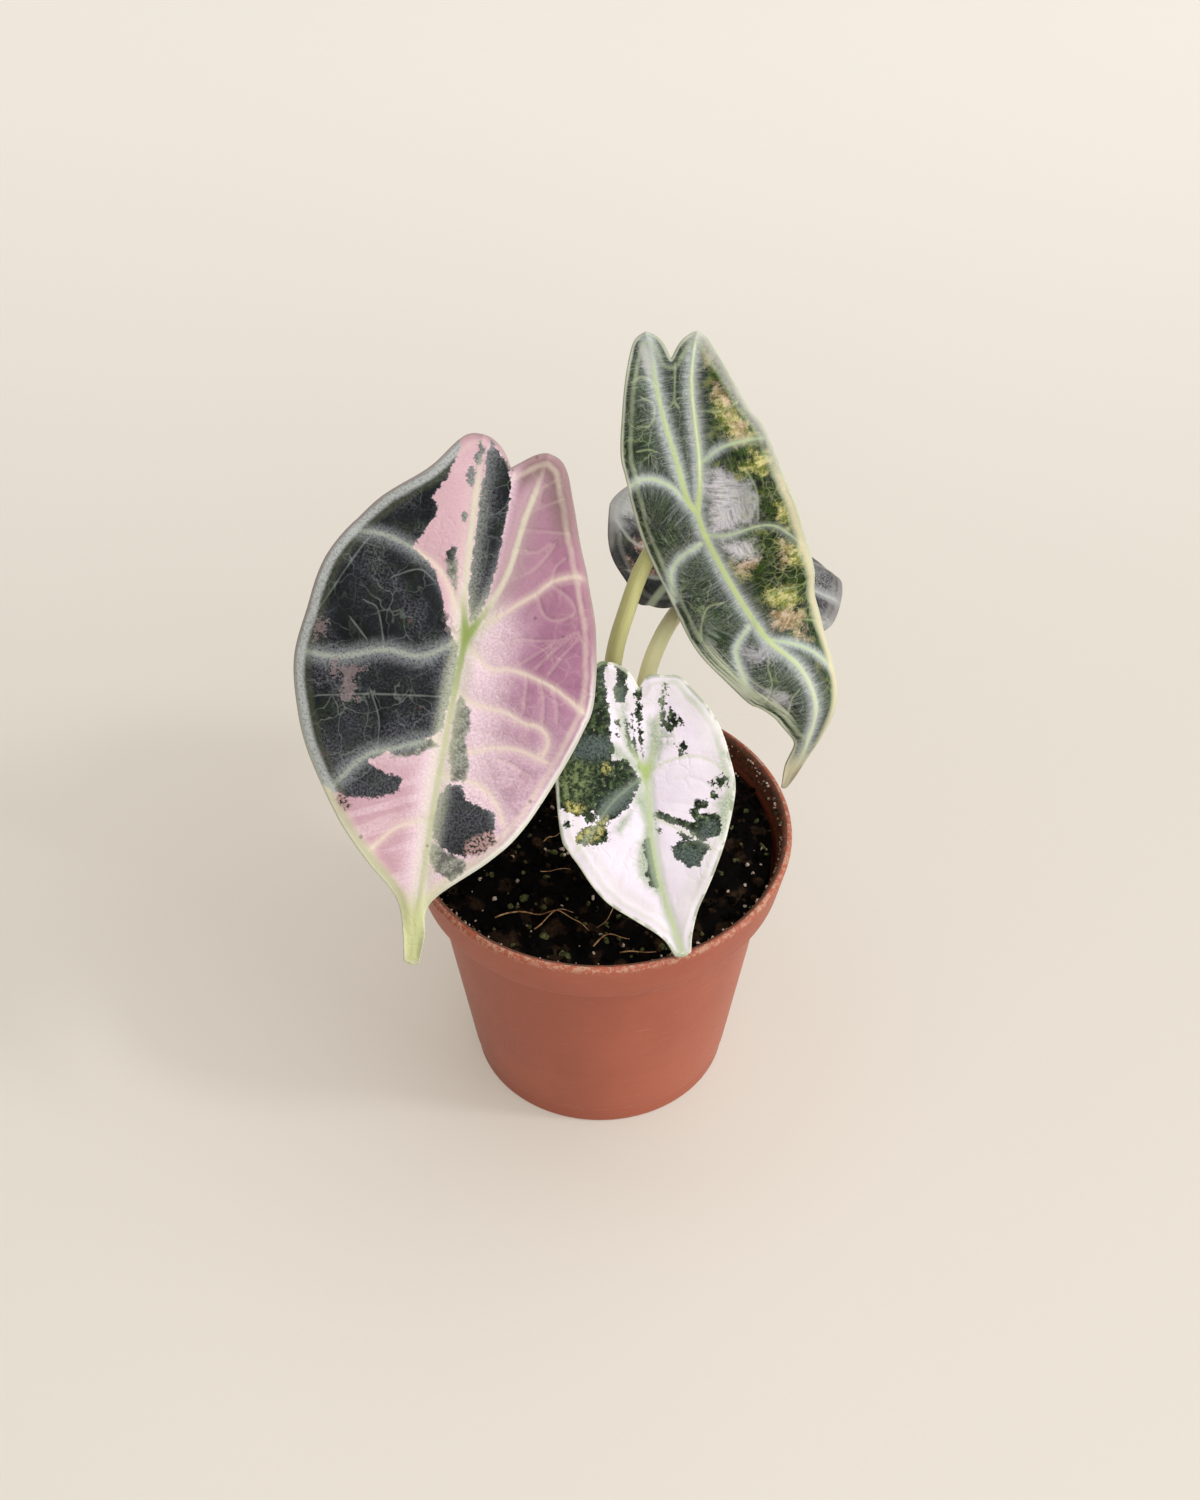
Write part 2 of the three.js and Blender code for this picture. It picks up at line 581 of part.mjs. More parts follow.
const plant = new THREE.Group();
plant.add(part('pot', potSolid(), terracottaPlastic));
plant.add(part('soil', soilSolid(), pottingSoil));
plant.add(part('rootstock', rootstockSolid(0), cormSkin));
for (const [name, { shape, finish }] of Object.entries(leaves)) {
  plant.add(part(`petiole_${name}`, petioleSolid(shape, petioleRoutes[name]), stalkGreen));
  plant.add(part(`leaf_${name}`, bladeSolid(shape), finish));
}

export default plant;
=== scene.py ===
# Potted alocasia: finely modelled blades with their markings, stalks, pot and
# potting mix, with the light and the camera of the photograph. Blade tables
# and markings are in millimetres, and everything in the scene is in metres.

import math

import bmesh
import bpy
import numpy as np
from mathutils import Matrix, Vector, noise


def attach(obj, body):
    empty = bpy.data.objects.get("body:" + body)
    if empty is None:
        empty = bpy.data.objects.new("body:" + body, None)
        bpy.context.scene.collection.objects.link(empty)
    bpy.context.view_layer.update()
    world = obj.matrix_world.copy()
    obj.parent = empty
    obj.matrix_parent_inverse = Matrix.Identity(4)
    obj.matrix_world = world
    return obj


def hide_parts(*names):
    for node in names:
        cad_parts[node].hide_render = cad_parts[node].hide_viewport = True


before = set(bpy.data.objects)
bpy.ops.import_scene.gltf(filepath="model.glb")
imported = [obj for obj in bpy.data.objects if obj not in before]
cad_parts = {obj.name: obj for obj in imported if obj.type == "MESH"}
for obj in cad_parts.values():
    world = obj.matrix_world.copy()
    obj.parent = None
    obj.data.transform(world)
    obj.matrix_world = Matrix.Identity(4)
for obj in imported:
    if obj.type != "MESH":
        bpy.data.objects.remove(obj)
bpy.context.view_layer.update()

MM = 0.001
SEED = 11

# The pot, in millimetres
POT_HEIGHT = 47.7
RIM_RADIUS = 30.0
LIP_THICKNESS = 1.6
COLLAR_HEIGHT = 8.9
COLLAR_TAPER = 1.5
COLLAR_STEP = 2.3
WALL = 1.3
FLOOR = 1.6
BODY_FOOT_RADIUS = 20.8
FOOT_HEIGHT = 3.6
FOOT_RADIUS = 20.2
DRAIN_COUNT = 6
DRAIN_RADIUS = 2.2
DRAIN_RING_RADIUS = 13.0
GAP = 0.32
SOIL_LEVEL = 44.4
SOIL_LUMP = 0.55

# The stalks, in millimetres
PETIOLE_FOOT_Z = 37.32
PETIOLE_BASE_RADIUS = 1.75
PETIOLE_TOP_RADIUS = 1.2
ELBOW = 2.6

# The blades, in millimetres
BLADE_THICKNESS = 0.7
MIDRIB_RELIEF = 0.75
VEIN_RELIEF = 0.4
TOP_GROOVE = 0.3
CREASE = 2.0

# Stations along a blade, from its tip to the ends of its lobes
JUNCTION = 7
NOTCH = 11
LAST = 13

# Each row of a spine is a place, the roll in degrees, the fold and the bend
PINK = {
    "spine": [
        [-27.9, -30, 49.8, 0, 0.25, 0],
        [-24.4, -17, 69.5, 0, 0.12, -0.008],
        [-19.6, 0, 87.7, 0, 0.14, -0.008],
        [-16.2, 8, 97.1, 0, 0.12, -0.01],
        [-12.3, 19, 109, 0, 0.1, -0.01],
    ],
    "junction_row": 2,
    "wave": (0.45, 5),
    "midrib": [-49.6, -43.5, -35.5, -28, -22, -15.5, -8.2, 0],
    "outer_left": [
        (-1.1, -49.2), (-1.7, -45.3), (-3.5, -39.8), (-8.7, -34.3), (-14, -28.5),
        (-19.4, -20.7), (-22.3, -14.1), (-24, -7.7), (-23.5, -1.1), (-22.4, 6.5),
        (-17.9, 15.9), (-11.3, 22.7), (-7.8, 27.9), (-4.8, 29.5),
    ],
    "outer_right": [
        (1, -49.3), (1.3, -45), (1.6, -39.8), (9.2, -32.1), (13.3, -26.8),
        (17.1, -18.1), (19.4, -11), (20.2, -5.4), (18.3, 5.3), (15.1, 12.1),
        (12.6, 16.9), (10.1, 22.7), (7.9, 27.2), (5, 29),
    ],
    "rib_left": [(0, 0), (-1.1, 3.3), (-2, 6.7), (-3, 13), (-3.7, 18.9), (-4.2, 24.4), (-4.8, 29.5)],
    "rib_right": [(0, 0), (1.5, 3.2), (2.5, 6.2), (3.5, 10.7), (3.9, 18.1), (4.7, 24.1), (5, 29)],
    "centre": [(0, 0), (0, 7), (0, 13.2), (0.1, 19.4), (0.2, 25.3)],
    "inner_left": [(0.2, 25.3), (-1.6, 27.7), (-4.8, 29.5)],
    "inner_right": [(0.2, 25.3), (2.3, 27.1), (5, 29)],
    "laterals": [
        [(0, 0), (-5.6, -4.2), (-11, -4.3), (-17.9, -6.7), (-23, -6.8)],
        [(-1, -15.4), (-6.2, -17.7), (-11, -19.8), (-15.4, -25.4)],
        [(-0.3, -27.5), (-4.5, -29), (-8.1, -32.7)],
        [(-2, 3.5), (-6.1, 8.2), (-10.4, 10.1), (-15.6, 11.2), (-19.8, 10.5)],
        [(1, 1), (4, 4), (6.5, 7), (8.5, 9), (10, 11), (13.5, 12.5), (17, 12)],
        [(0.7, -1.2), (4.5, -4), (7.5, -3.5), (11, -4), (14.5, -5), (19, -7.5)],
        [(0, -8), (3, -9.5), (8.5, -10), (11, -11), (13, -11), (14.5, -12), (15, -13.5), (14.5, -15)],
        [(0, -16.3), (4.5, -16.5), (6.5, -15.5), (11, -15), (15, -16)],
        [(0, -20.5), (5.5, -21), (7.5, -22), (9, -23.5), (10.5, -26)],
    ],
    "faint": [
        [(-0.4, -9.2), (-12, -11), (-19.6, -12.6)], [(-15.5, 1.5), (-13.5, 1), (-11.5, -3.5)],
        [(-17, -1), (-14, -3.5)], [(-17.5, 10), (-20.5, 2), (-23, -2.5)],
        [(-12.5, 5.5), (-9, 7.5), (-6.5, 6.5)], [(-12, -10.5), (-10, -14.5), (-9.5, -20)],
        [(3.9, 19), (5.5, 20.5), (8.5, 22.5)], [(5.5, 21), (5.5, 23.5), (7, 25)],
        [(3.9, 17), (7, 17.5), (10.5, 18)], [(4, 14), (7, 14.5), (8.5, 16)],
        [(4.5, 10), (6.5, 11.5), (8, 13.5), (9, 16)], [(10, 11), (10, 13), (11, 14.5)],
        [(8.5, 8.5), (10.5, 6), (12.5, 6), (14.5, 8), (13, 9.5), (10, 10.5)],
        [(4, -1.5), (7, 1), (10.5, 2), (13.5, 3), (15.5, 5), (16.5, 4)],
        [(8.5, -2.5), (10.5, -0.5), (13.5, 3)], [(11, -2.5), (12.5, 0), (15.5, 5)],
        [(13, -3), (14.5, 0.5), (16, 4)], [(10, -4.5), (10.5, -9.5)],
        [(12, -4.5), (13, -7), (13.5, -10)], [(14, -5), (15, -7.5), (15.5, -9.5)],
        [(0.5, -13), (4, -13.5), (6.5, -13.5)], [(2, -19), (5, -18.5), (8.5, -17), (13, -18.5)],
    ],
    "quilt": 0.26,
    "groove": 0.14,
}

WHITE = {
    "spine": [
        [12.2, -27.2, 49, 0, 0.3, 0],
        [8.4, -20, 59.5, 0, 0.15, -0.008],
        [6.8, -10, 69.6, 0, 0.25, -0.014],
        [6.3, -6, 74.4, 0, 0.22, -0.014],
        [5.4, 1, 81.6, 0, 0.15, -0.012],
    ],
    "junction_row": 2,
    "wave": (0.3, 4),
    "midrib": [-28.4, -24, -20, -16, -12, -8, -4, 0],
    "outer_left": [
        (-1.1, -28), (-2.1, -24.6), (-5.1, -20.8), (-8, -17.6), (-9.9, -14.6),
        (-11.2, -12.2), (-12.4, -10.3), (-13.3, -8), (-13.3, 0.7), (-11.9, 5.5),
        (-9.6, 10.4), (-7.1, 14.9), (-5.4, 16.7), (-4.2, 17),
    ],
    "outer_right": [
        (1.2, -28), (2.1, -25.6), (4, -22.4), (6.2, -19.7), (8.5, -16.3),
        (10.5, -12.1), (12.1, -7.1), (12.9, -3.1), (12.6, 0.3), (11.9, 4.3),
        (10.4, 7.9), (8.3, 11), (6.3, 13.3), (4.1, 14.2),
    ],
    "rib_left": [(0, 0), (-1.2, 2.3), (-2.3, 4.7), (-3.1, 7.7), (-3.7, 11.1), (-4, 14.1), (-4.2, 17)],
    "rib_right": [(0, 0), (1.1, 2.2), (1.7, 4.4), (2.3, 6.8), (3, 9.7), (3.7, 12.2), (4.1, 14.2)],
    "centre": [(0, 0), (0, 3.1), (0, 6.3), (0, 9.4), (0, 12.4)],
    "inner_left": [(0, 12.4), (-1.3, 14.9), (-4.2, 17)],
    "inner_right": [(0, 12.4), (1.4, 13.9), (4.1, 14.2)],
    "laterals": [
        [(0.3, 0), (4.1, 1.6), (7.5, 1.9), (10.1, 0.6), (12.2, -2)],
        [(-0.4, -0.6), (-5, -3.8), (-9.1, -8.4), (-11.2, -10.2)],
        [(0, -6.4), (5.6, -10), (9.1, -13.1)],
    ],
    "faint": [[(-0.2, -8.6), (-3.5, -11.1), (-5.7, -14.9)]],
    "minor_gap": 6.0,
    "quilt": 0.1,
    "groove": 0.1,
}

GREEN = {
    "spine": [
        [28.4, 0.5, 56, -10, 0.2, 0],
        [31.3, -1.2, 68, -20, -0.2, -0.01],
        [32.1, -1, 75, -25, -0.4, -0.02],
        [29.7, 1, 80.4, -22, -0.35, -0.02],
        [24.6, 3.5, 84.2, -12, -0.05, -0.015],
        [18, 7.5, 94.2, -3, 0.12, -0.01],
        [14.2, 10, 102.8, 0, 0.16, -0.012],
        [12.3, 17, 112.6, 0, 0.16, -0.012],
        [10.2, 27, 123, 0, 0.12, -0.01],
    ],
    "junction_row": 6,
    "wave": (0.4, 5),
    "midrib": [-55.2, -49, -43, -36, -28, -19, -10, 0],
    "outer_left": [
        (-0.4, -55), (-1.8, -49.2), (-1.6, -43.8), (-5.3, -38.6), (-7.9, -32.1),
        (-8.8, -23.6), (-9.4, -17.5), (-8.8, -8.3), (-9.2, 4.9), (-9.6, 9.7),
        (-8.6, 15.6), (-7.2, 21.2), (-5.6, 25.4), (-3.6, 27.3),
    ],
    "outer_right": [
        (0.4, -55), (1, -48.8), (2.7, -43.9), (3.6, -38.1), (5.5, -31.8),
        (8.4, -27), (11.2, -18.9), (12.6, -12.8), (13.8, -1.9), (11.7, 9.7),
        (9.4, 14.1), (7.1, 19.9), (5.3, 24.1), (3.9, 26.3),
    ],
    "rib_left": [(0, 0), (-1, 2.2), (-1.5, 6.3), (-2.6, 12.6), (-3.2, 18.5), (-3.2, 23.4), (-3.6, 27.3)],
    "rib_right": [(0, 0), (1, 3.3), (1.5, 7.4), (1.6, 12.6), (1.9, 18.5), (2.8, 22.7), (3.9, 26.3)],
    "centre": [(0, 0), (0.1, 5.2), (-0.2, 10.7), (-0.3, 16.6), (-0.5, 22.5)],
    "inner_left": [(-0.5, 22.5), (-1.5, 25.2), (-3.6, 27.3)],
    "inner_right": [(-0.5, 22.5), (1.2, 24.7), (3.9, 26.3)],
    "laterals": [
        [(1.7, 7.2), (5.2, 9.1), (11.2, 9.6)],
        [(-1.2, 2.1), (-2.7, 4.2), (-5.1, 5.7), (-7.4, 6), (-9.3, 5.3)],
        [(-1.1, -4.6), (-4.6, -5.3), (-6.8, -6.7), (-8.6, -10.3)],
        [(0.4, -3.8), (2.9, -4.8), (7.8, -5.2), (10.1, -6.7), (12.2, -12.5)],
        [(-0.8, -19.3), (-4.3, -20.8), (-5.9, -23), (-7.6, -25.7)],
        [(-0.2, -22.2), (2.1, -26.2), (4.6, -31.8)],
    ],
    "faint": [
        [(-2.5, -14), (-4.5, -13.5), (-5.5, -14), (-7, -15.5), (-8, -17)],
        [(-5.5, 17.5), (-4, 16.5), (-4, 15), (-5, 13.5), (-6.5, 13.5)],
        [(-2, -24.5), (-3.5, -25.5), (-6.5, -31)], [(-2, -32), (-3.5, -33), (-4.5, -36.5)],
        [(3.5, -17), (6, -17), (8.5, -18.5), (10, -18.5)], [(6, -25), (7.5, -26.5)],
        [(0, 22), (-0.5, 19), (-1, 16.5), (-2, 15.5)], [(-1, 16.5), (-0.5, 15.5)],
        [(-4.5, 9.5), (-5.5, 10), (-7, 10)], [(8, 5.5), (9, 1.5), (8, -4)],
        [(3.5, 20.5), (5, 21.5), (7, 23)], [(-2.5, 19), (-5, 20.5), (-6.5, 20)],
        [(3, 14.5), (5.5, 14), (8, 15)],
    ],
    "quilt": 0.42,
    "groove": 0.22,
    "soften": 4.0,
}

BACK = {
    "spine": [
        [25.1, 48.5, 57.9, 204, 0.1, -0.012],
        [23.8, 44.3, 68.7, 204, 0.1, -0.012],
        [20.9, 35.1, 78.4, 204, 0.1, -0.012],
        [17, 22.8, 83.2, 204, 0.1, -0.012],
        [14.8, 15.8, 83.4, 204, 0.1, -0.012],
        [12.3, 7.9, 81.6, 204, 0.1, -0.012],
    ],
    "junction_row": 3,
    "wave": (0.5, 5),
    "midrib": [-39.3, -34.5, -29.8, -24.4, -19.1, -12.8, -6.4, 0],
    "outer_left": [
        (-0.7, -39.1), (-1.6, -36.1), (-4.7, -31.9), (-9.4, -28.3), (-13.6, -23.6),
        (-17.4, -17.4), (-19.8, -11.2), (-21, -5.3), (-20.7, 0.6), (-18.9, 6),
        (-16, 10.2), (-12.5, 13.6), (-9.4, 15.5), (-6.9, 15.8),
    ],
    "outer_right": [
        (0.6, -39.1), (1.2, -36.1), (3.7, -31.9), (7.6, -28.1), (11.5, -23.2),
        (14.6, -17), (16.7, -10.6), (17.7, -4.7), (17.3, 1.3), (15.9, 6.2),
        (13.5, 10), (10.6, 13), (8.2, 14.5), (6.1, 14.7),
    ],
    "rib_left": [(0, 0), (-1.7, 2.7), (-3.1, 5.3), (-4.5, 8.5), (-5.6, 11.5), (-6.3, 13.8), (-6.9, 15.8)],
    "rib_right": [(0, 0), (1.5, 2.6), (2.8, 5.1), (3.9, 7.9), (4.8, 10.4), (5.6, 12.8), (6.1, 14.7)],
    "centre": [(0, 0), (0, 2.1), (0, 4.4), (0, 6.6), (0, 8.7)],
    "inner_left": [(0, 8.7), (-2.9, 13.4), (-6.9, 15.8)],
    "inner_right": [(0, 8.7), (2.6, 12.6), (6.1, 14.7)],
    "laterals": [
        [(-1.7, 2.7), (-8, 5), (-14, 5.5), (-19.5, 3.5)],
        [(1.5, 2.6), (7, 5), (12, 6), (16.5, 3.5)],
        [(0, -1), (-7, -4), (-14, -6), (-20.5, -8)],
        [(0, -1), (6, -4), (12, -6), (17, -8)],
        [(0, -9), (-7, -13), (-13, -16), (-17, -18.5)],
        [(0, -9), (6, -13), (11, -16), (14.5, -18.5)],
        [(0, -18), (-5, -22), (-10, -26), (-12, -26.5)],
        [(0, -18), (4, -22), (8, -25), (10.5, -25.5)],
        [(-4.5, 8.5), (-8, 11), (-12, 12)],
        [(3.9, 7.9), (7, 10), (11, 11)],
    ],
    "faint": [],
    "minor_gap": 5.0,
    "quilt": 0.4,
    "groove": 0.2,
}

# Markings of each blade, and the zones where painted reflection and painted light go (sheen and light on the
# green and back blades):
# closed outlines in the blade's own two coordinates, across and along it. Where one meets the margin it runs
# on past it.
PINK["zones"] = {
    "dark": [
        [
            (-7.5, 27), (-8.5, 22), (-10, 18.5), (-8.5, 17), (-9.5, 14.5), (-11, 10.5), (-7, 8),
            (-5, 5), (-3, 1), (-0.5, -2), (-0.3, -8), (-0.8, -14), (-4.5, -18), (-8.5, -19),
            (-10.5, -20.5), (-8.5, -21.5), (-5.3, -22), (-5.3, -24), (-8.5, -25.5), (-13, -26),
            (-15.5, -25.5), (-23, -20), (-27, -8), (-27, 4), (-24, 20), (-16, 29), (-9.5, 30),
        ],
        [
            (-3.5, 28.5), (0, 25.5), (1, 22.5), (1.5, 13), (1.8, 7.5), (1, 2.2), (0, 2.2),
            (-1.5, 6.5), (-2.3, 12), (-3.2, 20), (-3.6, 27),
        ],
        [(-5, 28), (-4, 27), (-4.3, 24.8), (-5.4, 25)],
        [(-5.5, 24.5), (-4.6, 23.5), (-4.6, 21), (-5.9, 23)],
        [(-5.2, 17.8), (-4.3, 17.5), (-4.6, 16.3), (-5.2, 16.8)],
        [(-5.5, 12.5), (-4.3, 12), (-4.7, 10), (-6.2, 10.8)],
        [
            (3.5, -21.5), (4.5, -23.5), (9, -24.8), (9.6, -27), (8, -29), (6, -31), (6, -32.2),
            (3, -31.8), (0.5, -30), (0, -27), (0.5, -24), (1.5, -22),
        ],
    ],
    "grey": [
        [(0.9, -8.5), (3, -11), (3, -15.5), (4.3, -19), (3.8, -21), (2, -21.3), (0.8, -17), (0.5, -11)],
        [(-5.9, 10.2), (-4.2, 10.7), (-3, 5.8), (-5, 8)],
        [(0.2, -30.5), (5.7, -32.6), (6, -34), (4.2, -36), (1.5, -35), (0.3, -32.5)],
        [(-2, -15.6), (-0.8, -16.5), (-5, -19), (-8, -19.5), (-5, -17)],
    ],
    "fleck": [
        [(5.5, -29.5), (9, -27.3), (10, -29), (7.5, -31.5), (5.5, -31.5)],
        [(-14, -25.3), (-11.8, -27), (-12.7, -28.2), (-14, -26.7)],
    ],
    "heart": [
        [(-20, 0.5), (-17, 3.5), (-12, 3.5), (-9, 0), (-11, -3), (-17, -4.5)],
        [(-15, -8), (-9.5, -6), (-4, -6), (-2.5, -11.5), (-9, -13.5), (-13.5, -12)],
    ],
    "patch": [
        [(-18.4, -7.3), (-17.6, -7.2), (-17.1, -9.2), (-17.9, -9.7)],
        [(-17, -8), (-13.5, -7), (-14.8, -10), (-13.7, -12.2), (-15.7, -12.6), (-16.5, -10)],
        [(-3.6, 2.1), (-2, 1), (-0.7, -0.7), (-2.9, 0.3)],
        [(-21.5, -2), (-20.2, -2.2), (-20.2, -4), (-21.5, -4.8)],
    ],
}

WHITE["zones"] = {
    "dark": [
        [
            (-6, 17.5), (-4.4, 17), (-4.9, 15.5), (-4.7, 11.5), (-5.2, 11), (-4.5, 10.5), (-4.8, 5.5),
            (-4.3, 3.6), (-5, 2.5), (-3.7, 2), (-2.5, 1.9), (-1.4, -0.2), (-0.7, -1), (-1.4, -2.3),
            (-2.3, -4), (-3.3, -5.2), (-6.4, -7.4), (-7.2, -6.5), (-8.5, -5.2), (-9.6, -5.7),
            (-11, -5.6), (-12.2, -5), (-14, -4.2), (-15, -1.4), (-14.5, 2), (-10.5, 8), (-8, 14),
        ],
        [
            (-3.8, 17.5), (-2.9, 17), (-1.4, 14.7), (-1.9, 13.3), (-1.7, 12.4), (-2.3, 10.5),
            (-3.6, 10.7), (-3.9, 12.6), (-3, 13.7), (-3.2, 15.2),
        ],
        [(-3.8, 8.4), (-3.4, 8), (-3.3, 7), (-3.9, 7)],
        [(-4, 6.2), (-3.5, 6), (-3.3, 5.3), (-3.9, 5.4)],
        [(-1.6, 9.4), (-1.2, 9.2), (-1.3, 7.7), (-1.6, 7.7)],
        [(-1.5, 7), (-1.2, 6.4), (-1.1, 3.4), (-0.7, 0.7), (-1.2, 1.6), (-1.6, 4.6)],
        [(-0.5, 12.6), (0.4, 12.6), (0.1, 10), (-0.1, 5), (-0.2, 2), (-0.6, 4.6), (-0.8, 10.8)],
        [(-2.4, 8), (-1.9, 7.6), (-1.9, 4.6), (-1.3, 2), (-2.2, 4), (-2.6, 6.4)],
        [
            (3.7, 12.8), (4.3, 12.7), (4.4, 12), (3.8, 11.7), (4.4, 10.9), (3.7, 10.5), (3.8, 9.9),
            (3, 9), (2.8, 10.5), (3.3, 11.2),
        ],
        [
            (2.8, 8.7), (3.9, 8.6), (4.3, 9.1), (5.8, 8), (6, 6.4), (4.8, 6.3), (4, 5.8), (2.7, 6.8),
        ],
        [(4.7, 3.6), (5.9, 4.3), (6.5, 4.2), (6.5, 3.3), (6, 3), (6.2, 2.3), (5.2, 2)],
        [
            (9, -2.3), (9.8, -1.6), (10.8, -1.7), (11.3, -1), (12, -1.8), (12, -3), (11.2, -3.2),
            (10.9, -3.9), (10.4, -3.5), (10.3, -2.6), (9.8, -2.6), (9.2, -2.9),
        ],
        [(8.9, -4.3), (9.6, -3.7), (10.3, -4.2), (9.9, -4.9), (9.2, -4.8)],
        [(6.8, -5.2), (7.4, -4.7), (8.3, -4.9), (8.8, -5.5), (8.5, -6.3), (6.9, -6)],
        [(5.9, -6.3), (6.7, -5.9), (7.3, -6.6), (7.5, -7.6), (6.6, -7.6), (6, -7)],
        [
            (0.3, -6), (1.5, -5.9), (2.7, -6.6), (4.9, -7.6), (6.4, -7.9), (7.5, -6.8), (10, -6.9),
            (10.5, -8.5), (10.3, -10.5), (9, -11), (8.3, -10.9), (7.5, -11.6), (6.7, -10.7),
            (4.8, -8.7), (3.7, -7.9), (2.5, -8), (1.4, -7), (0.4, -6.9),
        ],
        [(0.6, -7.6), (1.6, -8.6), (1.4, -9.1), (0.7, -8.7)],
        [(3.3, -9), (4.5, -9.3), (5.8, -10.6), (4.9, -10.7), (4, -10)],
        [
            (2.6, -11.5), (3.4, -11), (5.8, -10.9), (7.5, -11.5), (8.5, -11.8), (8.2, -13), (7, -14),
            (6.3, -15.4), (4.8, -15.4), (3.8, -14.2), (3, -13),
        ],
        [(-12.6, -6.3), (-11.7, -6), (-11.5, -6.7), (-11.8, -7.2), (-12.6, -7.2)],
        [
            (-11.3, -8.3), (-10.1, -7.5), (-8.6, -7), (-7.7, -6.6), (-6.6, -5.8), (-6.2, -6.3),
            (-6.9, -7.7), (-6.1, -9.2), (-6.8, -9.7), (-8.6, -9.9), (-11.2, -9.3),
        ],
        [(-9.6, -5.2), (-8.5, -5), (-8, -6.2), (-8.4, -7), (-9.3, -7), (-9.7, -6.3)],
        [
            (-1.2, -10), (-0.3, -9.3), (-0.1, -13), (-0.2, -17), (-0.8, -17.6), (-1.6, -16.6),
            (-1.8, -15), (-1.1, -13.5), (-1.4, -11.8),
        ],
    ],
    "mist": [
        [(-10.6, 5), (-8, 6.2), (-5, 5.5), (-4.5, 4), (-5.7, 2.7), (-8, 2.5), (-10.6, 3)],
        [(-7.6, -4.4), (-5.4, -3), (-3.2, -2), (-0.9, -1), (-1.8, -2.8), (-3, -4.8), (-5, -5.8), (-7, -6.2)],
        [(2.6, -11.5), (5, -11.6), (7, -12.6), (6.4, -15.4), (4.6, -15.5), (3.4, -14)],
        [(7, -9), (9.5, -8), (9, -11), (7.4, -11)],
        [(-1, -10), (-0.2, -9.5), (-0.2, -17), (-1, -16), (-1, -12.5)],
        [(-3.2, 12.5), (-2.2, 13), (-2.4, 10.8), (-3.4, 10.8)],
    ],
    "mottled": [[(-14, 1), (-10.4, 2.7), (-7.9, 1.8), (-8.6, -2), (-10.8, -3.6), (-14, -3.3)]],
    "yellow": [
        [(-6, 1.6), (-5.4, 2), (-5.2, 1), (-5.8, 0.4), (-6.3, 1)],
        [(-12.3, -4), (-11, -3.6), (-9.7, -4.6), (-10.6, -5.5), (-12, -5)],
        [(-11.2, -8.4), (-8.6, -7.2), (-6.8, -6.2), (-7, -7.6), (-7.6, -9), (-9.2, -9.5), (-11, -9)],
        [(-7.5, -6.8), (-6.2, -6.2), (-6.7, -7.4), (-7.9, -8)],
    ],
    "grey": [
        [(-4.8, 5), (-3.6, 4.3), (-1.9, 2), (-0.9, 0.4), (-2.6, 1.7), (-4.9, 2.5)],
        [(-3, 11), (-2.3, 10.5), (-2, 5.7), (-1.3, 2.5), (-2.4, 3.2), (-3, 5.8)],
        [
            (1.2, 8.2), (2.6, 8), (2.8, 6.3), (4.2, 5.2), (3.9, 4.2),
            (2.3, 2.8), (1.8, 1.7), (0.6, 0.8), (0.6, 4.7),
        ],
        [(-1, -2), (-0.4, -4), (-0.2, -7.4), (-1.4, -5.8), (-2.4, -4.3)],
        [(-5.2, -7.8), (-3.8, -6.4), (-2.6, -5.6), (-3.2, -7.2), (-4.6, -8.8)],
        [
            (10, -5.3), (11, -4.8), (12.5, -3.7), (12.5, -7),
            (11.5, -9.6), (10, -11.5), (10.5, -9), (10, -6.9),
        ],
        [(11.5, 3), (11.8, 0), (12.2, -2.3), (11.5, -0.5)],
        [(-2.4, -11.5), (-1.4, -9.4), (-0.2, -8), (0, -18.5), (-1.8, -17), (-3, -14.5)],
    ],
}

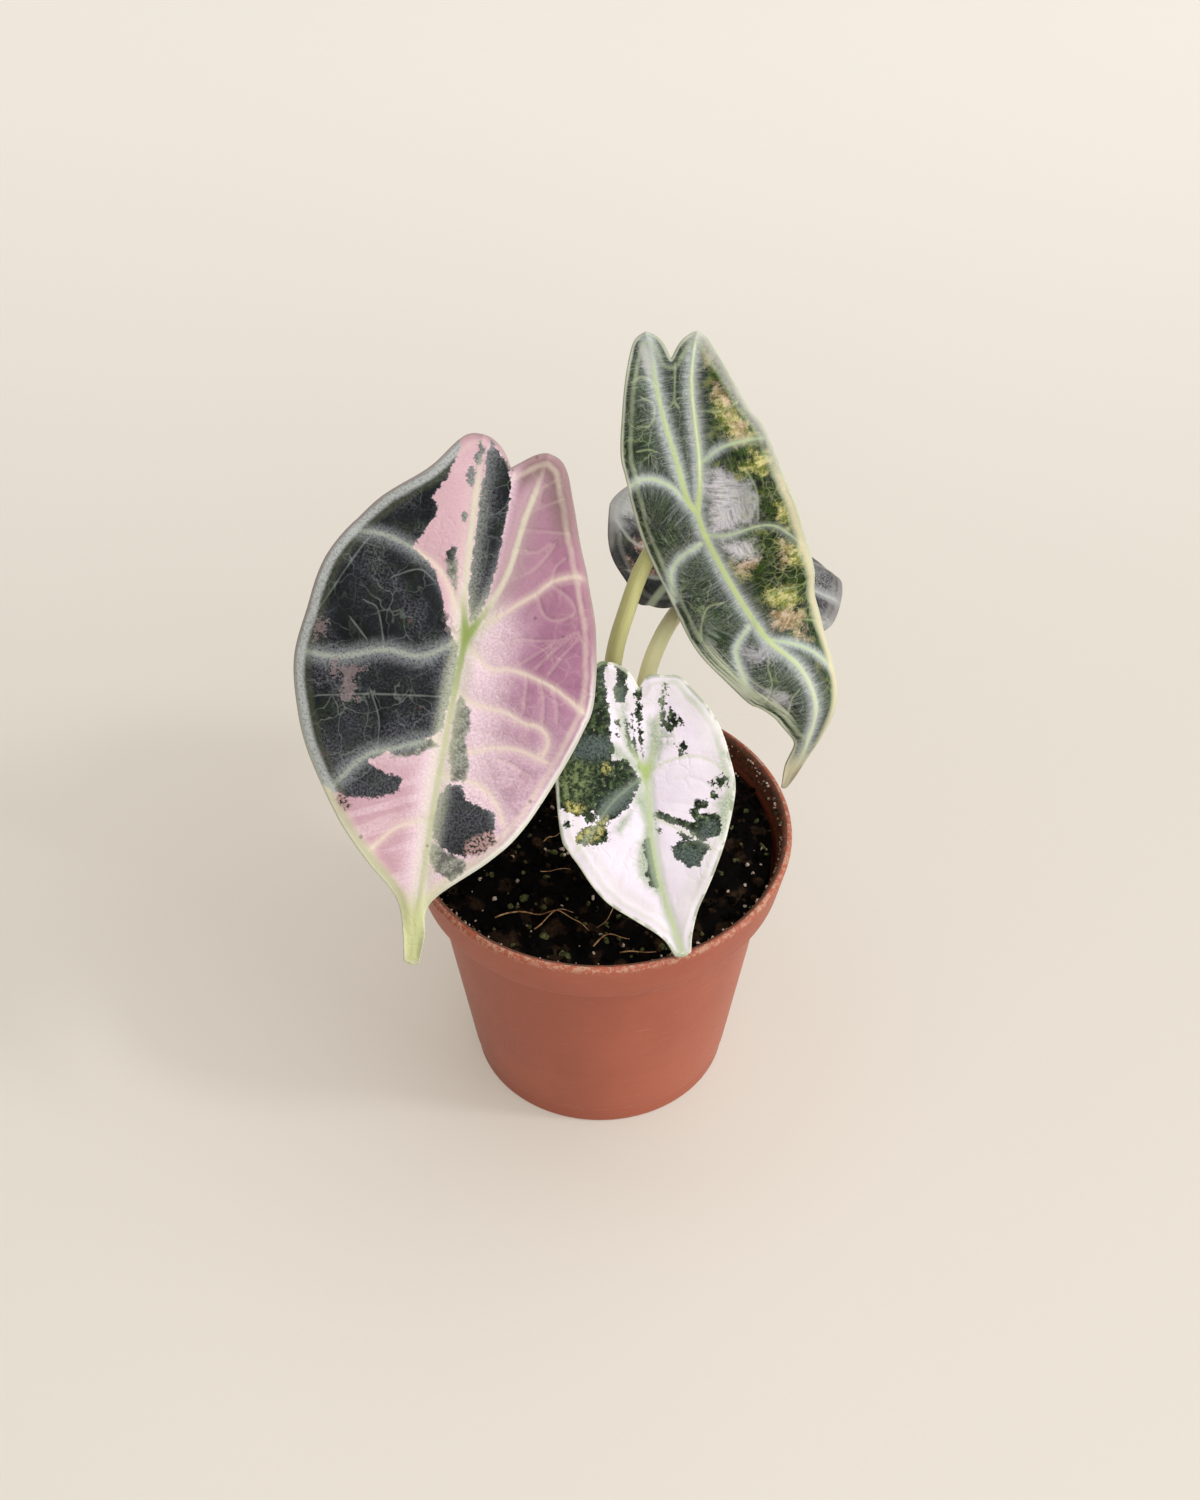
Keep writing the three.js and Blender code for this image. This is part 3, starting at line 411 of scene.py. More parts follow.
GREEN["zones"] = {
    "tan": [
        [(4, 25.7), (4.7, 24), (5.5, 21.3), (4.6, 20.8), (3.9, 23)],
        [
            (5, 18), (6.6, 16.7), (7, 15.2), (6.7, 12.6), (8.8, 11.7), (8.8, 10.2), (7.3, 9.8),
            (6.8, 12), (5.8, 15.4), (4.7, 16.4),
        ],
        [(9.8, -9.8), (10.3, -11), (9, -13), (7.8, -13.8), (8.3, -12)],
        [(2.3, -9.3), (5, -10.3), (4.8, -11.3), (2.6, -11.7), (1.8, -10)],
        [(3, -19.2), (5, -20.4), (6.9, -24.4), (5.3, -25.4), (3, -24), (1.8, -21.3)],
        [(3.7, -25), (4.7, -26.4), (3.8, -27.4), (2.9, -26)],
    ],
    "yellow": [
        [(5.4, 16.4), (7.2, 14.8), (8.2, 11.8), (10.6, 10), (9, 9), (6.6, 9.3), (6, 12), (4.7, 14.7)],
        [(9.8, -10.8), (11.6, -12), (11, -15.2), (9, -14)],
        [(1.6, -8.2), (2, -10.2), (3, -12), (1.3, -12.8), (1, -10.4)],
        [(4.8, -15.6), (7.2, -18.5), (7.2, -21.3), (3.8, -19), (3, -17)],
        [(9.5, 7.4), (11.8, 8.2), (12.4, 6), (10, 4.2), (7.4, 5.4)],
        [(11.4, -1.5), (12.6, -3), (11.4, -8), (10.9, -5.6)],
    ],
    "deep": [
        [(-1.8, 20.4), (0.7, 20.5), (0.4, 16.5), (0.5, 6.3), (-0.4, 4), (-1.2, 6.5), (-1.9, 12.4)],
        [(3, 16), (4.2, 14), (5, 10.6), (4.2, 10.2), (2.7, 12)],
        [(10.4, 3.6), (12.7, 1), (11.3, -7.8), (10.7, -4.3), (10.3, -1)],
        [(6.7, -7.6), (9, -8.8), (9, -12.2), (6.5, -13), (5.2, -11)],
        [(1.5, -13.6), (3.5, -12.2), (5.6, -12.7), (5, -15.8), (3.6, -17.3), (2.2, -15.5)],
        [(8.3, -14), (10.5, -14.5), (9.8, -17.6), (8, -17.8)],
        [(2, -17.5), (3.3, -17.8), (2, -21), (1.3, -20)],
        [(8, -22), (9.5, -25.5), (8.3, -26.3), (7.3, -25.3)],
    ],
    # Where a painted reflection of the window lies
    "sheen": [
        [
            (2.5, 5.8), (4.5, 5.8), (8.3, 3), (9, -0.4), (7.8, -4), (4.5, -3.9), (1, -3.4),
            (2.2, 0.2), (2, 3),
        ],
        [(1.8, -5.5), (6.3, -7), (5.2, -10.2), (2.7, -9.3), (1.8, -7.7)],
        [(-3.9, -21.3), (-0.9, -23), (-1.6, -25), (-4.9, -23)],
        [(-6.6, -26), (-3.7, -31.8), (-3.9, -34.5), (-6.2, -32.6)],
    ],
    # Where painted light shows through the thin margin
    "light": [
        [
            (4.4, 26), (5.6, 23.7), (8.8, 17.8), (12.5, 12), (13.4, 7.7), (11.8, 8), (9.7, 12),
            (7, 17.5), (4.6, 23),
        ],
        [(-4.7, 25.2), (-3.3, 24.3), (-3.2, 22), (-4.2, 20), (-4.9, 23.3)],
    ],
}

BACK["zones"] = {
    "deep": [[(14.2, 5), (11, 3.2), (7.5, 4.5), (4.5, 8), (3, 11), (3, 16), (8, 17), (12, 14), (14.6, 9.5)]],
    "flush": [
        [(12, 5.6), (10.8, 4.4), (9.6, 5), (9, 8), (10.2, 7.8)],
        [(11.9, 9), (10.8, 9), (9.6, 11), (10.6, 11.4)],
        [(8.2, 8.4), (6.6, 8.8), (7, 10), (8.2, 9.8)],
    ],
    # Where a painted reflection makes the dark blade pale grey
    "light": [
        [(-22, -4), (-22, 3), (-17, 11), (-9, 16), (-11, 9), (-17, 3)],
        [(19, 4.6), (15.8, 4), (13.2, 1), (13.6, -4), (16, -9), (19, -9)],
    ],
    # Where a painted sheen lies
    "sheen": [[(-19, -2), (-17, 5), (-10, 9), (-8, 2), (-13, -3)]],
}


# Curves and distances, in millimetres

def through_knots(knots, values, at):
    """A smooth curve through the values at the knots, read at other places."""
    knots = np.asarray(knots, float)
    values = np.asarray(values, float)
    at = np.asarray(at, float)
    last = len(knots) - 1
    after = np.minimum(np.arange(last + 1) + 1, last)
    before = np.maximum(np.arange(last + 1) - 1, 0)
    slopes = (values[after] - values[before]) / (knots[after] - knots[before])[:, None]
    i = np.clip(np.searchsorted(knots, at, side="right") - 1, 0, last - 1)
    step = (knots[i + 1] - knots[i])[..., None]
    t = (at - knots[i])[..., None] / step
    start = (2 * t**3 - 3 * t**2 + 1) * values[i] + (t**3 - 2 * t**2 + t) * step * slopes[i]
    end = (3 * t**2 - 2 * t**3) * values[i + 1] + (t**3 - t**2) * step * slopes[i + 1]
    return start + end


def chord_knots(points):
    """Length of the line up to each of its points."""
    steps = np.linalg.norm(np.diff(np.asarray(points, float), axis=0), axis=1)
    return np.concatenate([[0], np.cumsum(steps)])


def smooth_line(points, count):
    knots = chord_knots(points)
    return through_knots(knots, points, np.linspace(0, knots[-1], count))


def unit(vectors):
    return vectors / np.linalg.norm(vectors, axis=-1, keepdims=True)


def smooth_step(values, low, high):
    t = np.clip((values - low) / (high - low), 0, 1)
    return t * t * (3 - 2 * t)


def line_distance(points, line):
    """Distance to a line on a plane, with its sign for the side, and how far
    along the line its nearest place lies."""
    best = np.full(len(points), np.inf)
    side = np.ones(len(points))
    run = np.zeros(len(points))
    knots = chord_knots(line)
    for start, end, before in zip(line[:-1], line[1:], knots[:-1]):
        edge = np.asarray(end) - start
        length = max(np.hypot(*edge), 1e-9)
        offset = points - start
        t = np.clip(offset @ edge / length**2, 0, 1)
        gap = np.linalg.norm(offset - t[:, None] * edge, axis=1)
        nearer = gap < best
        best = np.where(nearer, gap, best)
        turn = edge[0] * offset[:, 1] - edge[1] * offset[:, 0]
        side = np.where(nearer, np.where(turn >= 0, 1.0, -1.0), side)
        run = np.where(nearer, before + t * length, run)
    return best, side, run


def zone_depth(points, outlines, reach=3.0):
    """How deep each point lies inside the outlines, less than 0 outside."""
    depth = np.full(len(points), -reach)
    for outline in outlines:
        corners = np.asarray(outline, float)
        closed = np.vstack([corners, corners[:1]])
        inside = np.zeros(len(points), bool)
        for (x0, y0), (x1, y1) in zip(closed[:-1], closed[1:]):
            if y0 == y1:
                continue
            crosses = (points[:, 1] < y0) != (points[:, 1] < y1)
            at = x0 + (points[:, 1] - y0) * (x1 - x0) / (y1 - y0)
            inside ^= crosses & (points[:, 0] < at)
        gap = line_distance(points, closed)[0]
        depth = np.maximum(depth, np.where(inside, gap, -gap))
    return np.clip(depth, -reach, reach)


# Meshes

def mesh_object(name, points_mm, faces, floats=None, smooth=True):
    mesh = bpy.data.meshes.new(name)
    mesh.from_pydata((np.asarray(points_mm) * MM).tolist(), [], [list(face) for face in faces])
    for key, values in (floats or {}).items():
        data = mesh.attributes.new(key, "FLOAT", "POINT").data
        data.foreach_set("value", np.asarray(values, np.float32))
    mesh.shade_smooth() if smooth else mesh.shade_flat()
    piece = bpy.data.objects.new(name, mesh)
    bpy.context.scene.collection.objects.link(piece)
    return piece


def vector_attribute(mesh, key, vectors):
    data = mesh.attributes.new(key, "FLOAT_VECTOR", "POINT").data
    data.foreach_set("vector", np.asarray(vectors, np.float32).ravel())


def fit_part(piece, node, slot, material):
    piece.data.materials.append(material)
    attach(piece, "root")
    if node:
        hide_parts(node)


# The blades

def merged(places, waves, faces):
    """Panels joined where their points meet, with all the faces turned up."""
    keys = np.round(places * 1000).astype(np.int64)
    _, kept, joined = np.unique(keys, axis=0, return_index=True, return_inverse=True)
    faces = joined.ravel()[faces]
    a, b, c = faces.T
    faces = faces[(a != b) & (b != c) & (c != a)]
    uv = places[kept]
    p, q, r = (uv[corner] for corner in faces.T)
    area = (q[:, 0] - p[:, 0]) * (r[:, 1] - p[:, 1]) - (q[:, 1] - p[:, 1]) * (r[:, 0] - p[:, 0])
    faces[area < 0] = faces[area < 0][:, ::-1]
    return uv, waves[kept], faces[np.abs(area) > 1e-9]


ROWS = 16
OUTER_COLUMNS = 60
INNER_COLUMNS = 18
EDGE_ROUND = 0.12
EDGE_HALF = 0.22
QUILT_WIDTH = 1.9
LOBE_SHOULDER = 0.12
LOBE_CUT = 0.35
VEIN_POINTS = 18
VEIN_SWAY = 0.35
RIB_POINTS = 25
VEINS_APART = 40.0
RIBS_APART = 500.0
LOBE_LENGTH = 30.0
MARGIN_STEPS = 8


class Blade:
    """The curved surface of one blade."""

    def __init__(self, table):
        self.table = table
        self.spine = np.array(table["spine"], float)
        knots = chord_knots(self.spine[:, :3])
        self.knots = knots - knots[table["junction_row"]]

    def frame(self, v):
        """Origin, two directions, fold and bend of the blade at each height."""
        rows = through_knots(self.knots, self.spine, v)
        nudge = 1e-3
        ahead = through_knots(self.knots, self.spine[:, :3], v + nudge)
        behind = through_knots(self.knots, self.spine[:, :3], v - nudge)
        along = unit(ahead - behind)
        across = unit(np.array([1.0, 0, 0]) - along[:, :1] * along)
        normal = np.cross(across, along)
        roll = np.radians(rows[:, 3:4])
        tilted = np.cos(roll) * across + np.sin(roll) * normal
        out = np.cos(roll) * normal - np.sin(roll) * across
        return rows[:, :3], tilted, out, rows[:, 4], rows[:, 5]

    def place(self, uv, lift):
        """Places on the blade, evened out along it far from the midrib."""
        reach = self.table.get("soften", 0.0) * smooth_step(np.abs(uv[:, 0]), 3, 9)
        ends = np.minimum(uv[:, 1] - self.knots[0], self.knots[-1] - uv[:, 1])
        reach = np.clip(np.minimum(reach, ends), 0, None)
        shifts = np.linspace(-1, 1, 5) if reach.any() else [0.0]
        places = [self.surface(uv + np.stack([0 * reach, k * reach], 1), lift) for k in shifts]
        return np.mean(places, axis=0)

    def surface(self, uv, lift):
        origin, across, out, fold, bend = self.frame(uv[:, 1])
        u = uv[:, 0]
        crease = np.sqrt(u**2 + CREASE**2) - CREASE
        rise = fold * crease + 0.5 * bend * u**2 + lift
        return origin + across * u[:, None] + out * rise[:, None]

    def rail(self, key, first, at):
        """One line of the table, whose points lie a station apart from the first."""
        points = self.table[key]
        if key == "midrib":
            points = [(0, v) for v in points]
        return through_knots(np.arange(len(points)) + first, points, at)

    def panels(self):
        """The four panels between a rib and an edge, as grids of places."""
        whole = np.linspace(0, LAST, LAST * ROWS + 1)
        lobe = whole[whole >= JUNCTION]
        stalk = whole[whole < JUNCTION]
        for side in ("left", "right"):
            lobe_rib = self.rail(f"rib_{side}", JUNCTION, lobe)
            rib = np.vstack([self.rail("midrib", 0, stalk), lobe_rib])
            outer = self.rail(f"outer_{side}", 0, whole)
            yield rib, outer, whole, OUTER_COLUMNS, True
            centre = self.rail("centre", JUNCTION, lobe[lobe < NOTCH])
            inner = self.rail(f"inner_{side}", NOTCH, lobe[lobe >= NOTCH])
            yield lobe_rib, np.vstack([centre, inner]), lobe, INNER_COLUMNS, False

    def wave(self, stations, share):
        """A gentle wave that grows towards the outer margin."""
        height, turns = self.table["wave"]
        swing = np.sin(stations / LAST * turns * 2 * np.pi)
        return share**2 * height * swing[:, None]

    def grid(self):
        """Points of all the panels with their wave, and the faces between them."""
        places, waves, corners = [], [], []
        count = 0
        for rib, edge, stations, columns, outer in self.panels():
            share = np.linspace(0, 1, columns + 1)
            f = share[None, :, None]
            places.append((rib[:, None] * (1 - f) + edge[:, None] * f).reshape(-1, 2))
            waves.append((self.wave(stations, share) * outer).ravel())
            index = count + np.arange(len(stations) * len(share)).reshape(len(stations), -1)
            a, b, c, d = index[:-1, :-1], index[:-1, 1:], index[1:, 1:], index[1:, :-1]
            corners += [np.stack(three, -1).reshape(-1, 3) for three in ((a, b, c), (a, c, d))]
            count += index.size
        return merged(np.vstack(places), np.concatenate(waves), np.vstack(corners))

    def margin(self):
        """The closed outline, up one side, round the notch and down again."""
        whole = np.linspace(0, LAST, MARGIN_STEPS * LAST + 1)
        ends = whole[whole >= NOTCH]
        left, right = (
            np.vstack([self.rail(f"outer_{side}", 0, whole), self.rail(f"inner_{side}", NOTCH, ends)[::-1]])
            for side in ("left", "right")
        )
        return np.vstack([left, right[::-1]])

    def main_veins(self):
        midrib = [(0.0, v) for v in self.table["midrib"]]
        at = np.linspace(JUNCTION, LAST, RIB_POINTS)
        lobes = [self.rail(f"rib_{side}", JUNCTION, at) for side in ("left", "right")]
        return [np.array(midrib), *lobes]

    def side_veins(self):
        return [smooth_line(line, VEIN_POINTS) for line in self.table["laterals"]]

    def minor_veins(self):
        """Thin veins drawn for the blade, and any between its side veins."""
        drawn = [smooth_line(line, VEIN_POINTS) for line in self.table["faint"]]
        gap = self.table.get("minor_gap")
        return (self.veins_between(gap) if gap else []) + drawn

    def veins_between(self, usual_gap):
        rng = np.random.default_rng(SEED + len(self.table["laterals"]))
        found = []
        for sign in (-1, 1):
            lines = [line for line in self.side_veins() if line[-1][0] * sign > 0]
            lines.sort(key=lambda line: line[-1][1])
            for low, high in zip(lines[:-1], lines[1:]):
                between = round(np.linalg.norm(low[-1] - high[-1]) / usual_gap)
                for k in range(between):
                    share = (k + 1) / (between + 1) + rng.uniform(-0.06, 0.06)
                    line = low * (1 - share) + high * share
                    sway = np.sin(np.linspace(0, rng.uniform(3, 7), len(line)) + rng.uniform(0, 6))
                    line = line + np.stack([0 * sway, VEIN_SWAY * sway], 1)
                    found.append(line[rng.integers(3, 7):])
        return found


def nearest_vein(points, lines):
    """Signed and plain distance to the nearest of the lines, and how far
    along it, with the lines set far apart."""
    best = np.full(len(points), np.inf)
    side, run = np.ones(len(points)), np.zeros(len(points))
    for k, line in enumerate(lines):
        gap, turn, along = line_distance(points, line)
        nearer = gap < best
        best = np.where(nearer, gap, best)
        side = np.where(nearer, turn, side)
        run = np.where(nearer, along + VEINS_APART * k, run)
    return best * side, best, run


def blade_fields(blade, uv, margin):
    """What the material of a blade needs to know at each point."""
    fields = {}
    _, main, main_run = nearest_vein(uv, blade.main_veins())
    signed, side, side_run = nearest_vein(uv, blade.side_veins())
    minor_signed, minor, _ = nearest_vein(uv, blade.minor_veins())
    length = blade.table["midrib"][0]
    taper = np.clip(uv[:, 1] / length, 0, 1)
    lobe = np.clip(uv[:, 1] / LOBE_LENGTH, 0, 1)
    fields["main"] = main
    fields["main_half"] = 0.95 - 0.55 * taper - 0.75 * lobe
    fields["side_signed"] = signed
    fields["side_near"] = side
    fields["minor_signed"] = minor_signed
    fields["minor_near"] = minor
    fields["run"] = np.where(main < side, main_run + RIBS_APART, side_run)
    fields["rim"] = line_distance(uv, np.vstack([margin, margin[:1]]))[0]
    for name, outlines in blade.table["zones"].items():
        fields[name] = zone_depth(uv, outlines)
    return fields


def blade_relief(table, fields, wave):
    """Lift of the upper face, and how far the lower face hangs under it."""
    main, side, minor, rim = (fields[key] for key in ("main", "side_near", "minor_near", "rim"))
    nearest = np.minimum(main, side)
    inland = smooth_step(rim, 0.3, 3.5)
    quilt = table["quilt"] * (1 - np.exp(-(nearest / QUILT_WIDTH)**2)) * inland
    crease = np.exp(-(minor / 0.5)**2) * inland * smooth_step(nearest, 0.3, 1.5)
    quilt = quilt - 0.2 * table["quilt"] * crease
    groove = np.exp(-(main / 1.3)**2) + 0.5 * np.exp(-(side / 0.7)**2) * inland
    crown = 0.5 * np.exp(-(main / 0.5)**2)
    lip = 0.1 * np.exp(-((rim - 1.2) / 0.7)**2)
    lift = wave + quilt - table["groove"] * (groove - crown) + lip
    under = MIDRIB_RELIEF * np.exp(-(main / 0.75)**2) * smooth_step(rim, 0.2, 3)
    under = under + VEIN_RELIEF * np.exp(-(side / 0.45)**2) * inland
    return lift, under


def round_lobes(blade, uv):
    """The blade's points with the ends of its two lobes rounded."""
    moved = uv.copy()
    for side in ("left", "right"):
        end = blade.rail(f"rib_{side}", JUNCTION, np.array([float(LAST)]))[0]
        before = blade.rail(f"rib_{side}", JUNCTION, np.array([LAST - 1.0]))[0]
        gap = np.linalg.norm(uv - end, axis=1)
        shoulder = LOBE_SHOULDER * np.exp(-((gap - 2.2) / 1.2)**2)
        cut = LOBE_CUT * np.clip(1 - gap / 1.6, 0, 1)**2
        moved += (shoulder - cut)[:, None] * unit(end - before)
    return moved


def boundary_edges(faces, count):
    """The edges that only one face has, in that face's own direction."""
    edges = np.vstack([faces[:, [0, 1]], faces[:, [1, 2]], faces[:, [2, 0]]])
    codes = edges[:, 0] * count + edges[:, 1]
    back = edges[:, 1] * count + edges[:, 0]
    return edges[~np.isin(codes, back)]


def outward_at_edges(uv, edges):
    """The way out of the blade at each point of its margin, in two coordinates."""
    outward = np.zeros(uv.shape)
    push = (uv[edges[:, 1]] - uv[edges[:, 0]])[:, ::-1] * (1, -1)
    np.add.at(outward, edges[:, 0], push)
    np.add.at(outward, edges[:, 1], push)
    ring = np.unique(edges)
    outward[ring] = unit(outward[ring])
    return outward, ring


def edge_faces(edges, ring, count):
    """Faces from the upper margin over a middle line to the lower margin."""
    middle_of = np.zeros(count, int)
    middle_of[ring] = 2 * count + np.arange(len(ring))
    a, b = edges.T
    ma, mb = middle_of[a], middle_of[b]
    return np.vstack([
        np.stack([a, ma, b], 1), np.stack([b, ma, mb], 1),
        np.stack([ma, a + count, mb], 1), np.stack([mb, a + count, b + count], 1),
    ])


def blade_sheet(uv, rim_uv, outward, ring, faces, wall):
    """Both faces of the blade laid side by side in one square, edge included."""
    count = len(uv)
    low, high = uv.min(0), uv.max(0)
    size = 1.06 * max(high[1] - low[1], 2 * (high[0] - low[0]) + 6)
    shift = np.array([high[0] - low[0] + 4, 0])
    top = uv - low + 0.02 * size
    middle = rim_uv - low + 0.02 * size
    island = np.vstack([top, top + shift, middle]) / size
    spread = np.vstack([top, top, top[ring] + 0.25 * outward[ring]])
    spread[count + ring] = top[ring] + 0.5 * outward[ring]
    flat = np.vstack([faces, faces[:, ::-1] + count])
    return np.vstack([island[flat].reshape(-1, 2), (spread / size)[wall].reshape(-1, 2)])


def blade_mesh(name, table):
    """One closed blade with its thickness, ribs and fields for the material."""
    blade = Blade(table)
    uv, wave, faces = blade.grid()
    count = len(uv)
    fields = blade_fields(blade, uv, blade.margin())
    lift, under = blade_relief(table, fields, wave)
    uv = round_lobes(blade, uv)
    half = EDGE_HALF + (BLADE_THICKNESS / 2 - EDGE_HALF) * smooth_step(fields["rim"], 0, 2)
    top = blade.place(uv, lift + half)
    bottom = blade.place(uv, wave + 0.35 * (lift - wave) - half - under)

    edges = boundary_edges(faces, count)
    outward, ring = outward_at_edges(uv, edges)
    rim_uv = uv[ring] + EDGE_ROUND * outward[ring]
    middle = blade.place(rim_uv, wave[ring])
    wall = edge_faces(edges, ring, count)
    triangles = np.vstack([faces, faces[:, ::-1] + count, wall])
    floats = {key: np.concatenate([v, v, v[ring]]) for key, v in fields.items()}
    floats["under"] = np.concatenate([np.zeros(count), np.ones(count), np.full(len(ring), 0.5)])
    piece = mesh_object(name, np.vstack([top, bottom, middle]), triangles.tolist(), floats)
    lay = np.vstack([uv, uv, rim_uv])
    vector_attribute(piece.data, "lay", np.hstack([lay, np.zeros((len(lay), 1))]))

    layer = piece.data.uv_layers.new(name="OFBake")
    corners = blade_sheet(uv, rim_uv, outward, ring, faces, wall)
    layer.data.foreach_set("uv", corners.astype(np.float32).ravel())
    return piece


# Materials

def rgb(red, green, blue):
    """A colour as it looks, 0 to 255, turned into the light that it gives."""
    values = [channel / 255 for channel in (red, green, blue)]
    linear = [v / 12.92 if v <= 0.04045 else ((v + 0.055) / 1.055)**2.4 for v in values]
    return (*linear, 1.0)


class Paint:
    """A colour over which further coats can be laid."""

    def __init__(self, graph, socket):
        self.graph = graph
        self.socket = socket

    def coat(self, colour, *masks):
        """Lays another colour over this one, where all the masks let it."""
        self.socket = self.graph.mix(self.graph.times(*masks), self, colour).socket


class Graph:
    """Short calls that build the nodes of one material."""

    def __init__(self, name):
        self.material = bpy.data.materials.new(name)
        self.material.use_nodes = True
        self.tree = self.material.node_tree
        self.tree.nodes.clear()

    def node(self, kind, inputs, **settings):
        node = self.tree.nodes.new(kind)
        for key, value in settings.items():
            setattr(node, key, value)
        for key, value in inputs.items():
            if isinstance(value, Paint):
                value = value.socket
            if isinstance(value, bpy.types.NodeSocket):
                self.tree.links.new(value, node.inputs[key])
            else:
                node.inputs[key].default_value = value
        return node

    def value(self, name):
        """A number that the mesh holds at each point."""
        return self.node("ShaderNodeAttribute", {}, attribute_name=name).outputs["Fac"]

    def vector(self, name):
        return self.node("ShaderNodeAttribute", {}, attribute_name=name).outputs["Vector"]

    def math(self, operation, a, b=0.0, clamp=False):
        node = self.node("ShaderNodeMath", {0: a, 1: b}, operation=operation, use_clamp=clamp)
        return node.outputs[0]

    def times(self, *factors):
        """The product of one or more masks or numbers."""
        result = factors[0]
        for factor in factors[1:]:
            result = self.math("MULTIPLY", result, factor)
        return result

    def split(self, vector):
        """The three parts of a vector."""
        return self.node("ShaderNodeSeparateXYZ", {0: vector}).outputs

    def step(self, value, low, high, to_low=0.0, to_high=1.0):
        """A smooth rise from 0 at low to 1 at high, or between other values."""
        inputs = {"Value": value, "From Min": low, "From Max": high, "To Min": to_low, "To Max": to_high}
        node = self.node("ShaderNodeMapRange", inputs, interpolation_type="SMOOTHSTEP")
        return node.outputs["Result"]

    def fall(self, value, low, high):
        """A smooth fall from 1 at low to 0 at high."""
        return self.step(value, low, high, 1.0, 0.0)

    def mix(self, factor, a, b):
        node = self.node("ShaderNodeMix", {0: factor, 6: a, 7: b}, data_type="RGBA")
        return Paint(self, node.outputs[2])

    def noise(self, vector, scale, detail=2.0, roughness=0.5, distortion=0.0):
        inputs = {
            "Vector": vector, "Scale": scale, "Detail": detail,
            "Roughness": roughness, "Distortion": distortion,
        }
        return self.node("ShaderNodeTexNoise", inputs).outputs["Fac"]

    def cells(self, vector, scale, feature="DISTANCE_TO_EDGE"):
        inputs = {"Vector": vector, "Scale": scale}
        return self.node("ShaderNodeTexVoronoi", inputs, feature=feature).outputs["Distance"]

    def shifted(self, vector, offset, stretch=(1.0, 1.0, 1.0)):
        inputs = {"Vector": vector, "Location": offset, "Scale": stretch}
        return self.node("ShaderNodeMapping", inputs).outputs["Vector"]

    def warped(self, vector, scale, amount):
        """The vector pushed about by noise."""
        inputs = {"Vector": vector, "Scale": scale, "Detail": 2.0}
        colour = self.node("ShaderNodeTexNoise", inputs).outputs["Color"]
        centred = self.vector_math("SUBTRACT", {0: colour, 1: (0.5, 0.5, 0.5)})
        scaled = self.vector_math("SCALE", {0: centred, "Scale": amount})
        return self.vector_math("ADD", {0: vector, 1: scaled})

    def vector_math(self, operation, inputs):
        return self.node("ShaderNodeVectorMath", inputs, operation=operation).outputs["Vector"]

    def join(self, x, y, z=0.0):
        return self.node("ShaderNodeCombineXYZ", {0: x, 1: y, 2: z}).outputs[0]

    def object_mm(self):
        """The place on the piece, in millimetres."""
        place = self.node("ShaderNodeTexCoord", {}).outputs["Object"]
        return self.vector_math("SCALE", {0: place, "Scale": 1 / MM})

    def finish(self, colour, roughness, height, bump_mm, specular, glow=None):
        bump = self.node("ShaderNodeBump", {"Strength": 1.0, "Distance": bump_mm * MM, "Height": height})
        inputs = {
            "Base Color": colour, "Roughness": roughness, "Specular IOR Level": specular,
            "Normal": bump.outputs["Normal"],
        }
        if glow is not None:
            inputs |= {"Emission Color": glow, "Emission Strength": 1.0}
        shader = self.node("ShaderNodeBsdfPrincipled", inputs)
        output = self.node("ShaderNodeOutputMaterial", {"Surface": shader.outputs[0]})
        output.is_active_output = True
        return self.material


